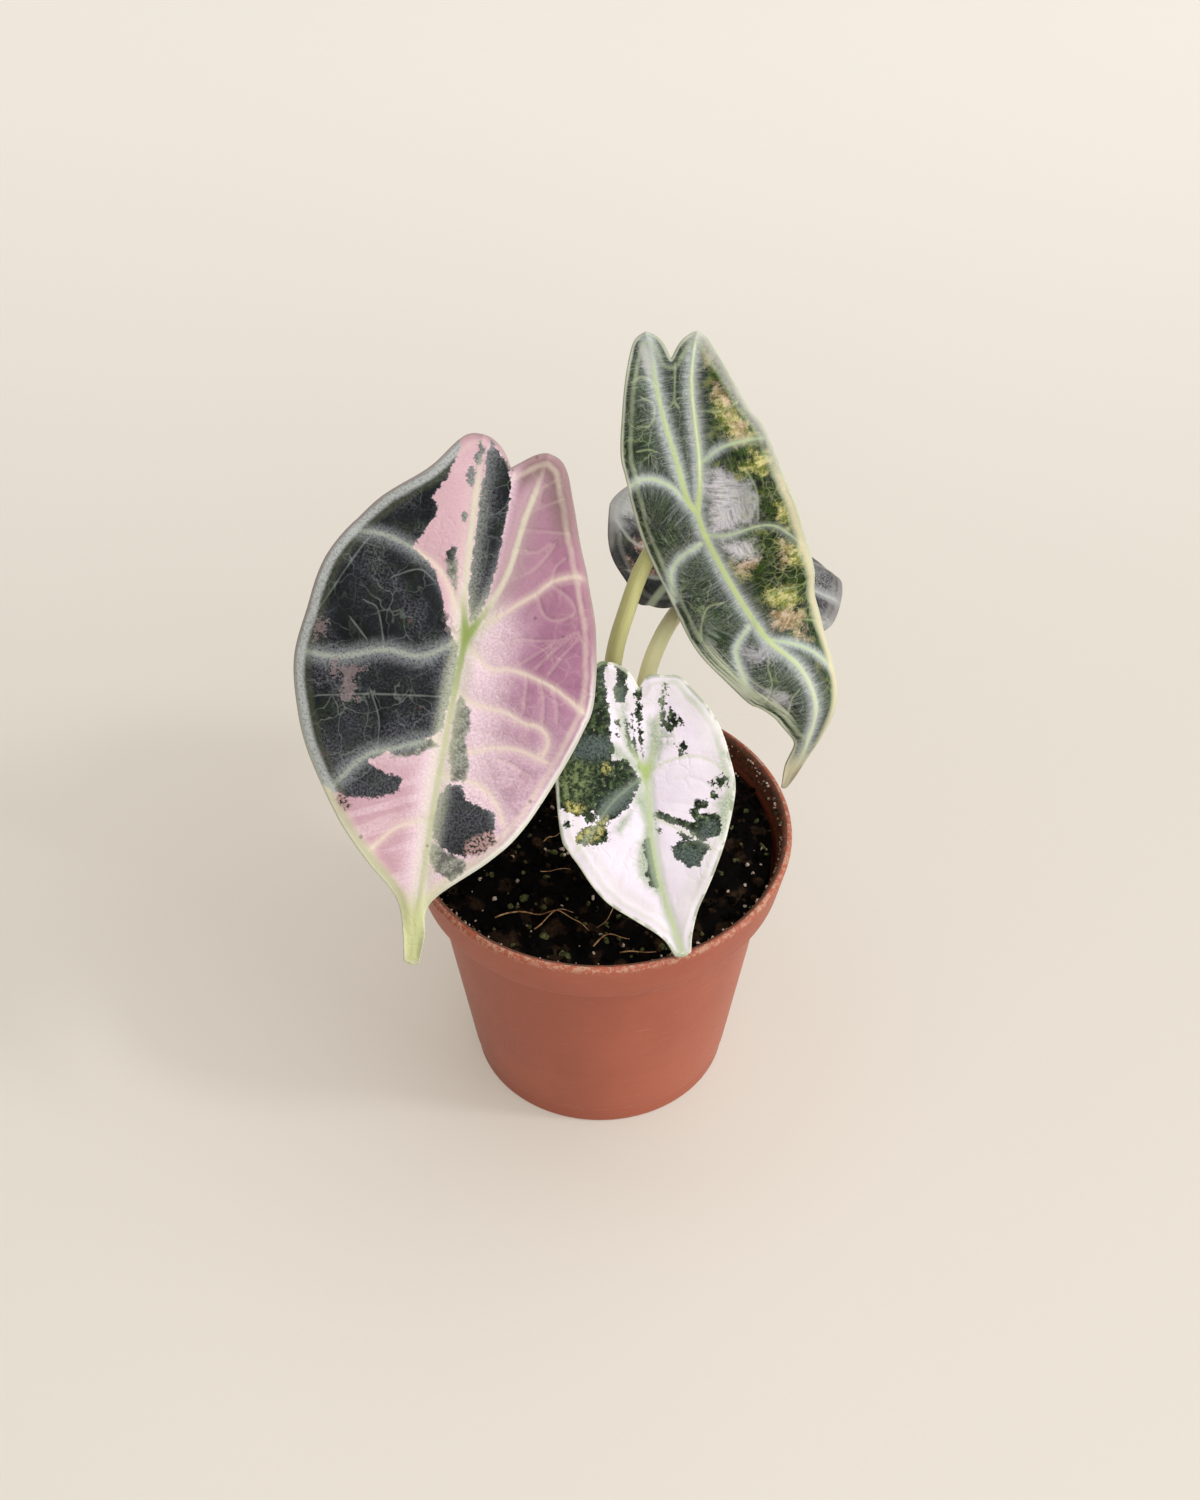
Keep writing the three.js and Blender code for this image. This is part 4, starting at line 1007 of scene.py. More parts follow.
class Tissue(Graph):
    """The masks that every blade's material shares, in millimetres on the
    blade: u across it, v along it, and the distance to veins and margin."""

    def __init__(self, name):
        super().__init__(name)
        self.lay = self.vector("lay")
        self.u, self.v, _ = self.split(self.lay)
        length = self.node("ShaderNodeVectorMath", {0: self.lay}, operation="LENGTH")
        self.from_stalk = length.outputs["Value"]
        self.warp = self.warped(self.lay, 0.4, 2.4)
        self.main = self.value("main")
        self.main_half = self.value("main_half")
        self.rim = self.value("rim")
        self.under = self.value("under")
        self.near = self.math("MINIMUM", self.main, self.times(self.value("side_near"), 1.5))
        self.wobble = self.noise(self.lay, 0.35, 1.5)
        self.grain = self.noise(self.lay, 2.6, 4.0, 0.8)
        self.cloud = self.noise(self.shifted(self.lay, (7.0, 3.0, 0.0)), 0.16, 4.0, 0.6)

    def swing(self, noise, amount):
        """Noise moved to either side of zero."""
        return self.times(self.math("SUBTRACT", noise, 0.5), amount)

    def uneven(self, value, amount):
        """The value with a little low noise added."""
        return self.math("ADD", value, self.swing(self.wobble, amount))

    def clouds(self, offset, scale, low, high):
        """Soft patches that differ from every other set with its own offset."""
        return self.step(self.noise(self.shifted(self.lay, offset), scale, 5.0, 0.7), low, high)

    def sparkle(self, low=0.42, high=0.64):
        """Fine grains, as in velvety tissue."""
        return self.step(self.grain, low, high)

    def vein(self, kind, half, soft):
        """Mask of the side veins or the minor ones."""
        across = self.math("ABSOLUTE", self.value(f"{kind}_signed"))
        near = self.math("SUBTRACT", self.value(f"{kind}_near"), 0.35)
        gap = self.uneven(self.math("MAXIMUM", across, near), 0.3)
        return self.fall(self.math("SUBTRACT", gap, half), 0.0, soft)

    def rib(self, extra, soft):
        """Mask of the midrib and the ribs of the lobes."""
        gap = self.math("SUBTRACT", self.main, self.times(self.main_half, extra))
        return self.fall(self.uneven(gap, 0.3), 0.0, soft)

    def zone(self, name, ragged, soft):
        """Mask of a marking, with an edge broken up at two scales."""
        coarse = self.swing(self.noise(self.lay, 0.8, 2.0), ragged)
        fine = self.swing(self.noise(self.lay, 2.6, 3.0, 0.7), ragged)
        depth = self.math("ADD", self.value(name), self.math("ADD", coarse, fine))
        return self.step(depth, -soft, soft)

    def net(self, scale, width):
        """Mask of a net of fine veins, here clear and there nearly gone."""
        lines = self.fall(self.cells(self.warp, scale), 0.0, width)
        patches = self.noise(self.shifted(self.lay, (3.0, 41.0, 0.0)), 0.13, 2.0)
        return self.times(lines, self.step(patches, 0.4, 0.62, 0.15, 1.0))

    def streaks(self, along, outward, offset=0.0):
        """Fine strokes that leave each vein at a right angle."""
        run = self.times(self.value("run"), along)
        away = self.times(self.near, outward)
        return self.noise(self.join(run, away, offset), 1.0, 3.0, 0.65)

    def line_inside_margin(self, inset, half):
        gap = self.math("ABSOLUTE", self.math("SUBTRACT", self.uneven(self.rim, 0.8), inset))
        line = self.fall(gap, half * 0.2, half * 2.2)
        return self.times(line, self.step(self.cloud, 0.3, 0.6, 0.55, 1.0))

    def band(self, low, high):
        """Mask of a strip along the margin."""
        return self.fall(self.uneven(self.rim, 0.4), low, high)

    def underside(self, colour, ground, vein):
        """Covers the lower face: paler and plainer, with its ridges lighter."""
        shade = tuple(0.72 * channel for channel in ground[:3]) + (1.0,)
        below = self.mix(self.step(self.cloud, 0.3, 0.7), ground, shade)
        below.coat(shade, self.step(self.grain, 0.4, 0.75), 0.4)
        below.coat(vein, self.vein("side", 0.2, 0.5), 0.7)
        below.coat(vein, self.net(0.4, 0.08), 0.3)
        below.coat(vein, self.rib(0.8, 0.6))
        colour.coat(below, self.step(self.under, 0.3, 0.7))

    def finish(self, colour, roughness, minor_height=0.5):
        """The material, with its minor veins and its net sunk a little."""
        height = self.times(self.vein("minor", 0.1, 0.5), -minor_height)
        height = self.math("SUBTRACT", height, self.times(self.net(0.5, 0.16), 0.35))
        height = self.math("ADD", height, self.times(self.grain, 0.4))
        rough = self.step(self.grain, 0.2, 0.8, roughness - 0.06, roughness + 0.1)
        return super().finish(colour, rough, height, 0.1, 0.15)


def dark_tissue(t, deep, mid, tint, haze, sheen):
    """Dark tissue: clouded, tinted in places, with a fine velvety grain whose pale specks are painted sheen.
    """
    base = t.mix(t.step(t.cloud, 0.4, 0.62), deep, mid)
    base.coat(tint, t.clouds((31.0, 12.0, 0.0), 0.22, 0.5, 0.62), 0.75)
    patch = t.step(t.noise(t.shifted(t.lay, (17.0, 5.0, 0.0)), 0.12, 4.0), 0.4, 0.6, 0.12, 1.0)
    # Painted sheen: pale grains laid over the dark tissue
    base.coat(haze, t.sparkle(), patch, sheen)
    return base


def vein_glow(t, reach, ragged):
    """A pale haze along the veins, grainy and frayed into short strokes."""
    strokes = t.math("SUBTRACT", t.streaks(3.6, 0.6), 0.5)
    specks = t.math("SUBTRACT", t.grain, 0.5)
    fray = t.times(t.math("ADD", strokes, specks), ragged)
    gap = t.math("DIVIDE", t.math("ADD", t.near, fray), reach)
    return t.fall(gap, 0.0, 1.0)


def lay_pink_wedge(t, ground, wedge, low):
    """The left of the pale part, striped and speckled with a deeper pink."""
    ground.coat(rgb(204, 166, 174), wedge, t.step(t.cloud, 0.2, 0.6, 0.4, 1.0), 0.7)
    ground.coat(rgb(204, 162, 172), wedge, t.net(0.9, 0.16), 0.4)
    ground.coat(rgb(190, 150, 160), wedge, t.sparkle(0.44, 0.66), 0.5)
    between_lobes = t.times(t.step(t.v, -4.0, 2.0), wedge)
    ground.coat(rgb(208, 168, 176), between_lobes, 0.5)
    across = t.math("SUBTRACT", t.v, t.times(t.u, 0.4))
    bands = t.noise(t.join(t.times(across, 0.6), t.times(t.u, 0.05)), 1.0, 3.0)
    stripes = t.step(bands, 0.42, 0.52)
    ground.coat(rgb(196, 152, 164), low, wedge, stripes, 0.7)


def lay_pink_lines(t, ground, wedge, low):
    """Cream veins and the lines that follow the margin of the pale part."""
    cream = rgb(234, 219, 198)
    ground.coat(cream, t.net(0.25, 0.06), t.step(t.u, 0.5, 4.0, 0.2, 1.0), 0.12)
    ground.coat(cream, t.vein("minor", 0.0, 0.45), t.step(t.u, 3.0, 9.0, 0.4, 1.0), 0.17)
    ground.coat(cream, t.vein("side", 0.1, 1.1), 0.35)
    ground.coat(cream, t.vein("side", 0.0, 0.5), t.sparkle(0.2, 0.5), 0.55)
    right_line = t.times(t.line_inside_margin(1.5, 0.35), t.step(t.u, -3.0, 1.0, 0.4, 1.0))
    ground.coat(cream, right_line, 0.42)
    ground.coat(rgb(184, 146, 152), t.band(0.4, 1.1), t.step(t.v, -25.0, -10.0), 0.6)
    olive = t.step(t.v, -22.0, -40.0)
    ground.coat(rgb(206, 208, 164), olive, t.band(0.6, 2.0), 0.7)
    ground.coat(rgb(206, 206, 172), t.band(0.7, 1.8), low, wedge, 0.75)
    lower_right = t.times(t.step(t.u, 2.0, 5.0), t.step(t.v, 6.0, -8.0))
    ground.coat(rgb(236, 232, 226), t.band(0.35, 0.9), lower_right, 0.85)


def pink_ground(t):
    """The pale part of the pink blade, mauve towards its right margin."""
    pale, mauve, deep = rgb(244, 220, 228), rgb(168, 118, 144), rgb(136, 84, 116)
    rightward = t.step(t.u, 2.5, 12.0)
    upward = t.step(t.v, -24.0, -2.0, 0.3, 1.0)
    ground = t.mix(t.times(rightward, upward), pale, mauve)
    lobe = t.times(t.step(t.v, 2.0, 9.0), t.step(t.u, 0.5, 2.5))
    ground.coat(rgb(172, 124, 144), lobe, 0.8)
    inner = t.step(t.u, 4.0, 11.0, 0.1, 1.0)
    between = t.step(t.near, 0.6, 3.2)
    ground.coat(deep, t.step(t.noise(t.warp, 0.3, 3.0, 0.6), 0.42, 0.68), between, inner, 0.4)
    pleats = t.step(t.streaks(0.9, 0.12, 4.0), 0.46, 0.66)
    ground.coat(deep, pleats, between, inner, 0.25)
    ground.coat(rgb(168, 116, 138), t.sparkle(0.42, 0.6), t.step(t.u, -2.0, 9.0, 0.5, 1.0), 0.42)
    top = t.times(t.step(t.v, 14.0, 20.0), t.step(t.u, 1.0, 3.0))
    ground.coat(rgb(134, 108, 106), top, t.band(2.0, 4.5), 0.85)
    wedge = t.step(t.u, -1.0, -5.0)
    low = t.step(t.v, -17.0, -25.0)
    lay_pink_wedge(t, ground, wedge, low)
    lay_pink_lines(t, ground, wedge, low)
    return ground


def pink_dark(t):
    """The dark markings of the pink blade, with a painted reflection along their left margin."""
    dark = dark_tissue(t, rgb(0, 8, 7), rgb(22, 26, 30), rgb(22, 36, 10), rgb(156, 152, 168), 0.3)
    dark.coat(rgb(88, 88, 92), t.step(t.v, -13.0, -19.0), t.sparkle(0.36, 0.6), 0.45)
    dark.coat(rgb(0, 12, 8), t.zone("heart", 3.0, 1.2), 0.6)
    line = rgb(152, 160, 152)
    dark.coat(line, t.net(0.26, 0.035), 0.28)
    dark.coat(line, t.vein("minor", 0.0, 0.22), 0.34)
    dark.coat(rgb(152, 155, 158), vein_glow(t, 3.6, 2.6), t.sparkle(0.32, 0.58), 0.84)
    dark.coat(rgb(168, 174, 160), t.vein("side", 0.0, 0.7), t.sparkle(0.25, 0.5), 0.75)
    # Painted reflection: a pale grey band along the rolled left margin
    left = t.step(t.u, -2.0, -6.0)
    dark.coat(rgb(184, 187, 184), t.band(1.1, 1.9), left, t.step(t.grain, 0.34, 0.55, 0.45, 1.0))
    dark.coat(rgb(84, 88, 60), t.line_inside_margin(2.1, 0.4), left, 0.4)
    dark.coat(rgb(104, 108, 106), t.band(0.15, 0.6), 0.6)
    return dark


def lay_pink_ribs(t, colour):
    """Midrib and lobe ribs, green at the junction and fading in the lobes."""
    lobe = t.step(t.v, 1.0, 7.0)
    fading = t.step(t.v, 28.0, 21.0)
    rib = t.mix(t.step(t.v, -15.0, -1.0), rgb(202, 202, 166), rgb(148, 166, 100))
    rib.coat(rgb(220, 212, 190), lobe)
    soft_rib = t.times(t.rib(1.0, 1.9), fading, t.step(t.grain, 0.35, 0.6, 0.6, 1.0))
    broad = t.step(t.v, 2.0, 8.0, 1.0, 0.35)
    colour.coat(rgb(206, 208, 178), soft_rib, broad, 0.55)
    colour.coat(rib, t.rib(0.2, 0.55), fading, 0.9)
    colour.coat(rgb(142, 160, 84), t.step(t.from_stalk, 3.4, 0.4), t.rib(0.4, 1.1), 0.8)


def pink_material():
    t = Tissue("blade_pink_surface")
    grey = t.mix(t.sparkle(0.35, 0.65), rgb(84, 96, 80), rgb(172, 178, 162))
    grey.coat(rgb(46, 54, 44), t.clouds((4.0, 9.0, 0.0), 0.7, 0.46, 0.56), 0.75)
    fleck = t.mix(t.step(t.noise(t.lay, 2.4, 3.0), 0.45, 0.6), rgb(178, 144, 142), rgb(48, 52, 44))

    colour = pink_ground(t)
    colour.coat(grey, t.zone("grey", 1.2, 0.3), 0.9)
    colour.coat(pink_dark(t), t.zone("dark", 1.4, 0.1))
    colour.coat(fleck, t.zone("fleck", 1.0, 0.3))
    colour.coat(rgb(150, 130, 130), t.zone("patch", 3.4, 0.3), 0.5)
    lay_pink_ribs(t, colour)
    colour.coat(rgb(200, 202, 150), t.step(t.v, -37.0, -43.0))
    edge = t.mix(t.step(t.v, -30.0, 5.0), rgb(206, 208, 182), rgb(166, 146, 142))
    colour.coat(edge, t.band(0.1, 0.4), 0.6)
    specks = t.fall(t.cells(t.lay, 0.21, "F1"), 0.05, 0.075)
    colour.coat(rgb(104, 76, 72), specks, 0.5)
    t.underside(colour, rgb(140, 112, 120), rgb(180, 172, 142))
    return t.finish(colour, 0.5)


def white_dark(t):
    """The green markings of the white blade, from nearly black to pale."""
    deep = t.mix(t.clouds((0.0, 0.0, 0.0), 0.9, 0.46, 0.66), rgb(12, 24, 8), rgb(76, 96, 58))
    deep.coat(rgb(96, 110, 96), t.clouds((6.0, 2.0, 0.0), 0.3, 0.5, 0.64), t.sparkle(0.4, 0.62), 0.6)
    deep.coat(rgb(158, 166, 132), t.clouds((9.0, 4.0, 0.0), 1.3, 0.57, 0.63), 0.6)
    mist = t.mix(t.sparkle(0.35, 0.65), rgb(44, 58, 54), rgb(110, 122, 118))
    deep.coat(mist, t.zone("mist", 2.4, 0.9), 0.8)
    leafy = t.mix(t.clouds((5.0, 6.0, 0.0), 1.2, 0.44, 0.58), rgb(30, 46, 18), rgb(132, 146, 98))
    deep.coat(leafy, t.zone("mottled", 2.4, 1.0), 0.75)
    yellow = t.mix(t.clouds((1.0, 2.0, 0.0), 1.6, 0.42, 0.56), rgb(52, 62, 20), rgb(214, 204, 124))
    deep.coat(yellow, t.zone("yellow", 1.6, 0.5), 0.85)
    deep.coat(rgb(140, 150, 136), vein_glow(t, 2.2, 2.2), 0.4)
    deep.coat(rgb(150, 162, 136), t.vein("side", 0.0, 0.3), 0.5)
    return deep


def white_material():
    t = Tissue("blade_white_surface")
    ground = t.mix(t.step(t.cloud, 0.35, 0.7), rgb(247, 237, 247), rgb(238, 225, 238))
    ground.coat(rgb(228, 220, 222), t.step(t.grain, 0.5, 0.8), 0.3)
    ground.coat(rgb(218, 212, 206), t.vein("minor", 0.0, 0.4), 0.2)
    ground.coat(rgb(214, 217, 190), t.vein("side", 0.0, 0.5), 0.6)
    ground.coat(rgb(208, 211, 188), t.line_inside_margin(1.3, 0.25), 0.5)
    rightmost = t.times(t.step(t.u, 2.0, 6.0), t.line_inside_margin(0.9, 0.35))
    ground.coat(rgb(160, 176, 134), rightmost, t.step(t.v, -14.0, -6.0, 0.3, 1.0), 0.55)
    ground.coat(rgb(224, 219, 214), t.line_inside_margin(2.6, 0.6), 0.4)
    grey = t.mix(t.sparkle(0.35, 0.65), rgb(132, 150, 122), rgb(204, 210, 190))
    colour = t.mix(t.times(t.zone("grey", 1.8, 0.9), 0.9), ground, grey)
    colour.coat(white_dark(t), t.zone("dark", 1.5, 0.06))
    holes = t.step(t.noise(t.shifted(t.lay, (2.0, 5.0, 0.0)), 1.3, 2.0), 0.55, 0.6)
    colour.coat(ground, holes, t.step(t.u, 2.0, 3.0), t.step(t.v, -6.0, -3.0, 0.0, 0.85))
    fade = t.step(t.v, 0.5, 5.0, 1.0, 0.3)
    colour.coat(rgb(172, 188, 154), t.rib(0.8, 0.9), t.step(t.v, 6.0, 0.0), 0.55)
    colour.coat(rgb(194, 206, 160), t.rib(0.05, 0.5), t.step(t.v, 15.0, 9.0), fade, 0.9)
    colour.coat(rgb(170, 190, 108), t.step(t.from_stalk, 2.4, 0.3), t.rib(0.3, 0.9), 0.8)
    shift = t.step(t.noise(t.lay, 0.4, 3.0), 0.45, 0.58)
    edge = t.mix(shift, rgb(230, 232, 212), rgb(150, 166, 122))
    colour.coat(edge, t.band(0.15, 0.55), 0.7)
    t.underside(colour, rgb(208, 204, 194), rgb(188, 198, 148))
    return t.finish(colour, 0.45, 0.2)


def green_ground(t, right):
    """Dark green tissue, lush and mottled in the right half."""
    colour = dark_tissue(t, rgb(18, 32, 12), rgb(54, 66, 44), rgb(38, 62, 14), rgb(150, 156, 146), 0.34)
    lush = t.mix(t.clouds((2.0, 1.0, 0.0), 0.35, 0.44, 0.58), rgb(0, 18, 0), rgb(44, 68, 4))
    colour.coat(lush, right, 0.95)
    colour.coat(rgb(138, 138, 74), right, t.clouds((12.0, 3.0, 0.0), 0.45, 0.52, 0.64), 0.6)
    colour.coat(rgb(128, 130, 104), right, t.clouds((3.0, 14.0, 0.0), 0.3, 0.56, 0.68), 0.3)
    deep = t.mix(t.sparkle(0.4, 0.7), rgb(18, 36, 6), rgb(48, 66, 18))
    colour.coat(deep, t.zone("deep", 2.2, 0.6), 0.85)
    yellow = t.mix(t.clouds((8.0, 1.0, 0.0), 0.9, 0.42, 0.58), rgb(122, 132, 40), rgb(240, 228, 156))
    colour.coat(yellow, t.zone("yellow", 3.2, 0.9), 0.75)
    tan = t.mix(t.clouds((1.0, 8.0, 0.0), 0.8, 0.4, 0.6), rgb(150, 122, 84), rgb(222, 196, 168))
    colour.coat(tan, t.zone("tan", 3.4, 0.8), 0.8)
    return colour


def lay_green_margin(t, colour, right):
    """The pale margin, rolled over and striped low on the left."""
    rolled = t.times(t.step(t.u, -2.0, -5.0), t.step(t.v, -15.0, -22.0))
    ridges = t.join(t.times(t.rim, 1.9), t.times(t.v, 0.1))
    stripes = t.step(t.noise(ridges, 1.0, 2.0), 0.42, 0.58)
    colour.coat(rgb(196, 200, 176), rolled, t.band(2.0, 3.2), stripes, 0.8)
    rose = t.mix(t.step(t.v, 2.0, 8.0), rgb(222, 212, 178), rgb(178, 176, 170))
    narrow = t.step(t.v, 3.0, 9.0, 1.0, 0.35)
    colour.coat(rose, right, t.band(0.8, 1.6), narrow, 0.8)
    colour.coat(rose, right, t.band(0.3, 0.8), 0.7)
    colour.coat(rgb(178, 188, 154), t.line_inside_margin(1.3, 0.25), 0.5)
    colour.coat(rgb(196, 200, 176), t.band(0.15, 0.5), 0.75)


def lay_green_lines(t, colour, right):
    """Strokes, fine veins and the pale haze along the veins, with the silver strokes a painted sheen and the
    pale margin zone painted light.
    """
    # Painted sheen: silver strokes, more on the left half
    strokes = t.step(t.streaks(4.4, 0.22, 7.0), 0.48, 0.66)
    colour.coat(rgb(176, 181, 176), strokes, t.step(right, 0.0, 1.0, 0.3, 0.1))
    dark_strokes = t.step(t.streaks(4.0, 0.2, 3.0), 0.52, 0.68)
    colour.coat(rgb(24, 34, 22), dark_strokes, t.step(right, 0.0, 1.0, 0.5, 0.2))
    lime = rgb(168, 180, 136)
    colour.coat(lime, t.net(0.3, 0.04), 0.35)
    colour.coat(rgb(176, 182, 110), right, t.net(0.42, 0.06), 0.35)
    colour.coat(rgb(150, 156, 118), right, t.step(t.streaks(2.4, 0.25, 5.0), 0.54, 0.68), 0.3)
    colour.coat(lime, t.vein("minor", 0.0, 0.3), 0.5)
    haze = rgb(204, 212, 206)
    far_right = t.times(right, t.step(t.u, 3.0, 7.0))
    colour.coat(haze, vein_glow(t, 1.8, 1.9), t.step(far_right, 0.0, 1.0, 0.8, 0.3))
    wide = t.times(vein_glow(t, 3.8, 2.2), t.sparkle(0.36, 0.62))
    colour.coat(rgb(150, 155, 160), wide, t.step(far_right, 0.0, 1.0, 0.5, 0.1))
    # Painted light: the thin margin pale grey, as if lit through
    colour.coat(rgb(192, 190, 182), t.zone("light", 1.2, 0.6), 0.55)


def lay_green_gloss(t, colour):
    """Painted reflection: a lilac-white colour where the tissue throws the light of the window back."""
    gloss = t.step(t.streaks(2.6, 0.3, 2.0), 0.34, 0.6, 0.5, 1.0)
    lilac = t.mix(t.step(t.u, 3.0, 7.5), rgb(246, 240, 248), rgb(190, 188, 190))
    lower = t.step(t.v, -20.0, -12.0, 0.55, 1.0)
    colour.coat(lilac, t.zone("sheen", 2.6, 1.1), gloss, lower, 0.76)


def lay_green_ribs(t, colour):
    """Side veins, midrib and lobe ribs, with a painted highlight beside the ribs in the lobes."""
    colour.coat(rgb(186, 202, 160), t.vein("side", 0.0, 0.4), 0.8)
    tip = t.step(t.v, -20.0, -36.0)
    rib = t.mix(tip, rgb(192, 207, 142), rgb(208, 215, 184))
    thin = t.step(t.v, 2.0, 10.0, 1.0, 0.8)
    colour.coat(rib, t.rib(0.2, 0.42), t.step(t.v, 26.0, 18.0), thin, 0.9)
    # Painted highlight: a pale line along the right side of the ribs in the lobes
    shine = t.fall(t.main, 0.0, 0.3)
    colour.coat(rgb(232, 238, 208), shine, t.step(t.v, 2.0, 6.0), t.step(t.u, 0.0, 0.6), 0.7)


def green_material():
    t = Tissue("blade_green_surface")
    right = t.step(t.u, 0.8, 3.5)
    colour = green_ground(t, right)
    lay_green_lines(t, colour, right)
    lay_green_gloss(t, colour)
    lay_green_ribs(t, colour)
    lay_green_margin(t, colour, right)
    colour.coat(rgb(198, 192, 162), t.step(t.v, -44.0, -50.0))
    t.underside(colour, rgb(148, 160, 116), rgb(190, 200, 146))
    return t.finish(colour, 0.36)


def back_material():
    t = Tissue("blade_back_surface")
    colour = dark_tissue(t, rgb(34, 32, 35), rgb(98, 96, 98), rgb(54, 48, 38), rgb(178, 178, 180), 0.66)
    colour.coat(rgb(156, 152, 150), t.net(0.3, 0.05), 0.4)
    colour.coat(rgb(180, 182, 182), vein_glow(t, 2.8, 2.2), 0.65)
    deep = t.mix(t.sparkle(0.42, 0.7), rgb(14, 16, 16), rgb(58, 58, 64))
    deep_zone = t.zone("deep", 2.6, 0.8)
    colour.coat(deep, deep_zone, 0.92)
    colour.coat(rgb(112, 112, 76), deep_zone, t.net(0.34, 0.06), 0.5)
    blush = t.mix(t.clouds((2.0, 7.0, 0.0), 1.1, 0.42, 0.56), rgb(204, 166, 156), rgb(92, 74, 62))
    colour.coat(blush, t.zone("flush", 1.8, 0.4), 0.8)
    # Painted reflection: pale grey where the dark blade catches the light at a glancing angle
    colour.coat(rgb(190, 190, 188), t.zone("light", 3.0, 1.0), 0.8)
    colour.coat(rgb(150, 148, 142), t.line_inside_margin(1.5, 0.3), 0.55)
    # Painted reflection: a grey sheen on the blade
    colour.coat(rgb(178, 180, 182), t.zone("sheen", 1.8, 1.6), 0.5)
    colour.coat(rgb(186, 190, 182), t.vein("side", 0.0, 0.5), 0.6)
    colour.coat(rgb(176, 184, 160), t.rib(0.4, 0.6), 0.9)
    pale_edge = t.step(t.value("deep"), -0.4, 0.6, 0.7, 0.15)
    colour.coat(rgb(150, 146, 144), t.band(0.4, 1.2), pale_edge)
    t.underside(colour, rgb(108, 80, 90), rgb(146, 138, 116))
    return t.finish(colour, 0.42)


def stalk_material():
    g = Graph("stalk_surface")
    lay = g.vector("lay")
    along = g.value("along")
    fibres = g.noise(g.shifted(lay, (0.0, 0.0, 0.0), (3.2, 0.09, 1.0)), 1.0, 4.0, 0.6)
    blush = g.noise(lay, 0.25, 3.0)
    base = g.mix(g.step(along, 0.1, 0.95), rgb(214, 206, 150), rgb(198, 198, 128))
    base.coat(rgb(184, 182, 108), g.step(fibres, 0.45, 0.7), 0.45)
    base.coat(rgb(214, 202, 156), g.step(blush, 0.5, 0.7), 0.3)
    base.coat(rgb(214, 198, 168), g.step(along, 0.3, 0.02), 0.6)
    spots = g.fall(g.cells(lay, 0.9, "F1"), 0.1, 0.16)
    base.coat(rgb(150, 138, 84), spots, 0.25)
    # Painted light: a paler colour laid on stalks that sit in shade
    base.coat(rgb(255, 250, 200), g.value("painted_light"))
    rough = g.step(fibres, 0.3, 0.7, 0.34, 0.46)
    return g.finish(base, rough, fibres, 0.08, 0.45)


def pot_material():
    g = Graph("pot_plastic_surface")
    place = g.object_mm()
    z = g.split(place)[2]
    cloud = g.noise(place, 0.035, 4.0, 0.55)
    fine = g.noise(place, 2.4, 4.0, 0.7)
    rings = g.noise(g.shifted(place, (0.0, 0.0, 0.0), (0.03, 0.03, 1.1)), 1.0, 3.0)
    base = g.mix(g.step(cloud, 0.35, 0.65), rgb(163, 82, 58), rgb(176, 92, 66))
    base.coat(rgb(154, 78, 58), g.step(rings, 0.45, 0.7), 0.16)
    base.coat(rgb(196, 122, 98), g.step(fine, 0.5, 0.75), 0.14)
    # Painted shade: the pot darker towards its foot
    low = g.step(z, 4.2, 1.0)
    base.coat(rgb(152, 82, 64), low, 0.3)
    scuff = g.noise(g.shifted(place, (5.0, 2.0, 0.0), (0.22, 0.22, 1.3)), 1.0, 5.0, 0.75)
    scuff_mask = g.times(g.step(scuff, 0.6, 0.72), 0.3)
    base.coat(rgb(204, 142, 120), scuff_mask)
    grit = g.noise(place, 1.5, 4.0, 0.75)
    dust = g.times(g.step(z, 46.2, 47.8), g.step(grit, 0.46, 0.58))
    base.coat(rgb(204, 176, 150), dust, 0.6)
    inner = g.value("inner")
    dirt = g.times(g.step(inner, 0.4, 0.6), g.step(grit, 0.36, 0.56, 0.35, 0.95))
    base.coat(rgb(84, 56, 44), dirt)
    rough = g.step(fine, 0.3, 0.75, 0.4, 0.54)
    rough = g.math("ADD", rough, g.times(dust, 0.3), clamp=True)
    height = g.math("ADD", g.times(fine, 0.4), g.times(scuff, 0.4))
    return g.finish(base, rough, height, 0.05, 0.4)


def soil_material():
    g = Graph("potting_mix_surface")
    place = g.object_mm()
    tint = g.value("tint")
    fine = g.noise(place, 1.7, 5.0, 0.75)
    base = g.mix(g.step(fine, 0.3, 0.75), rgb(2, 1, 1), rgb(13, 10, 8))
    brown = g.mix(g.step(fine, 0.35, 0.7), rgb(24, 16, 11), rgb(62, 44, 30))
    moss = g.mix(g.step(fine, 0.35, 0.7), rgb(36, 40, 20), rgb(112, 112, 72))
    pale = g.mix(g.step(fine, 0.35, 0.7), rgb(160, 136, 118), rgb(226, 208, 192))
    base.coat(brown, g.step(tint, 0.15, 0.25))
    base.coat(moss, g.step(tint, 0.45, 0.5))
    base.coat(pale, g.step(tint, 0.75, 0.8))
    rough = g.step(fine, 0.3, 0.7, 0.7, 0.95)
    return g.finish(base, rough, fine, 0.25, 0.06)


def fibre_material():
    g = Graph("root_fibre_surface")
    place = g.object_mm()
    fine = g.noise(place, 1.3, 3.0, 0.6)
    base = g.mix(g.step(fine, 0.35, 0.65), rgb(128, 84, 50), rgb(196, 158, 112))
    return g.finish(base, g.step(fine, 0.3, 0.7, 0.6, 0.8), fine, 0.1, 0.3)


def corm_material():
    g = Graph("corm_surface")
    place = g.object_mm()
    bark = g.noise(g.shifted(place, (0.0, 0.0, 0.0), (0.5, 0.5, 1.8)), 1.0, 5.0, 0.7, 0.6)
    base = g.mix(g.step(bark, 0.35, 0.65), rgb(84, 58, 38), rgb(140, 104, 70))
    return g.finish(base, g.step(bark, 0.3, 0.7, 0.7, 0.92), bark, 0.4, 0.3)


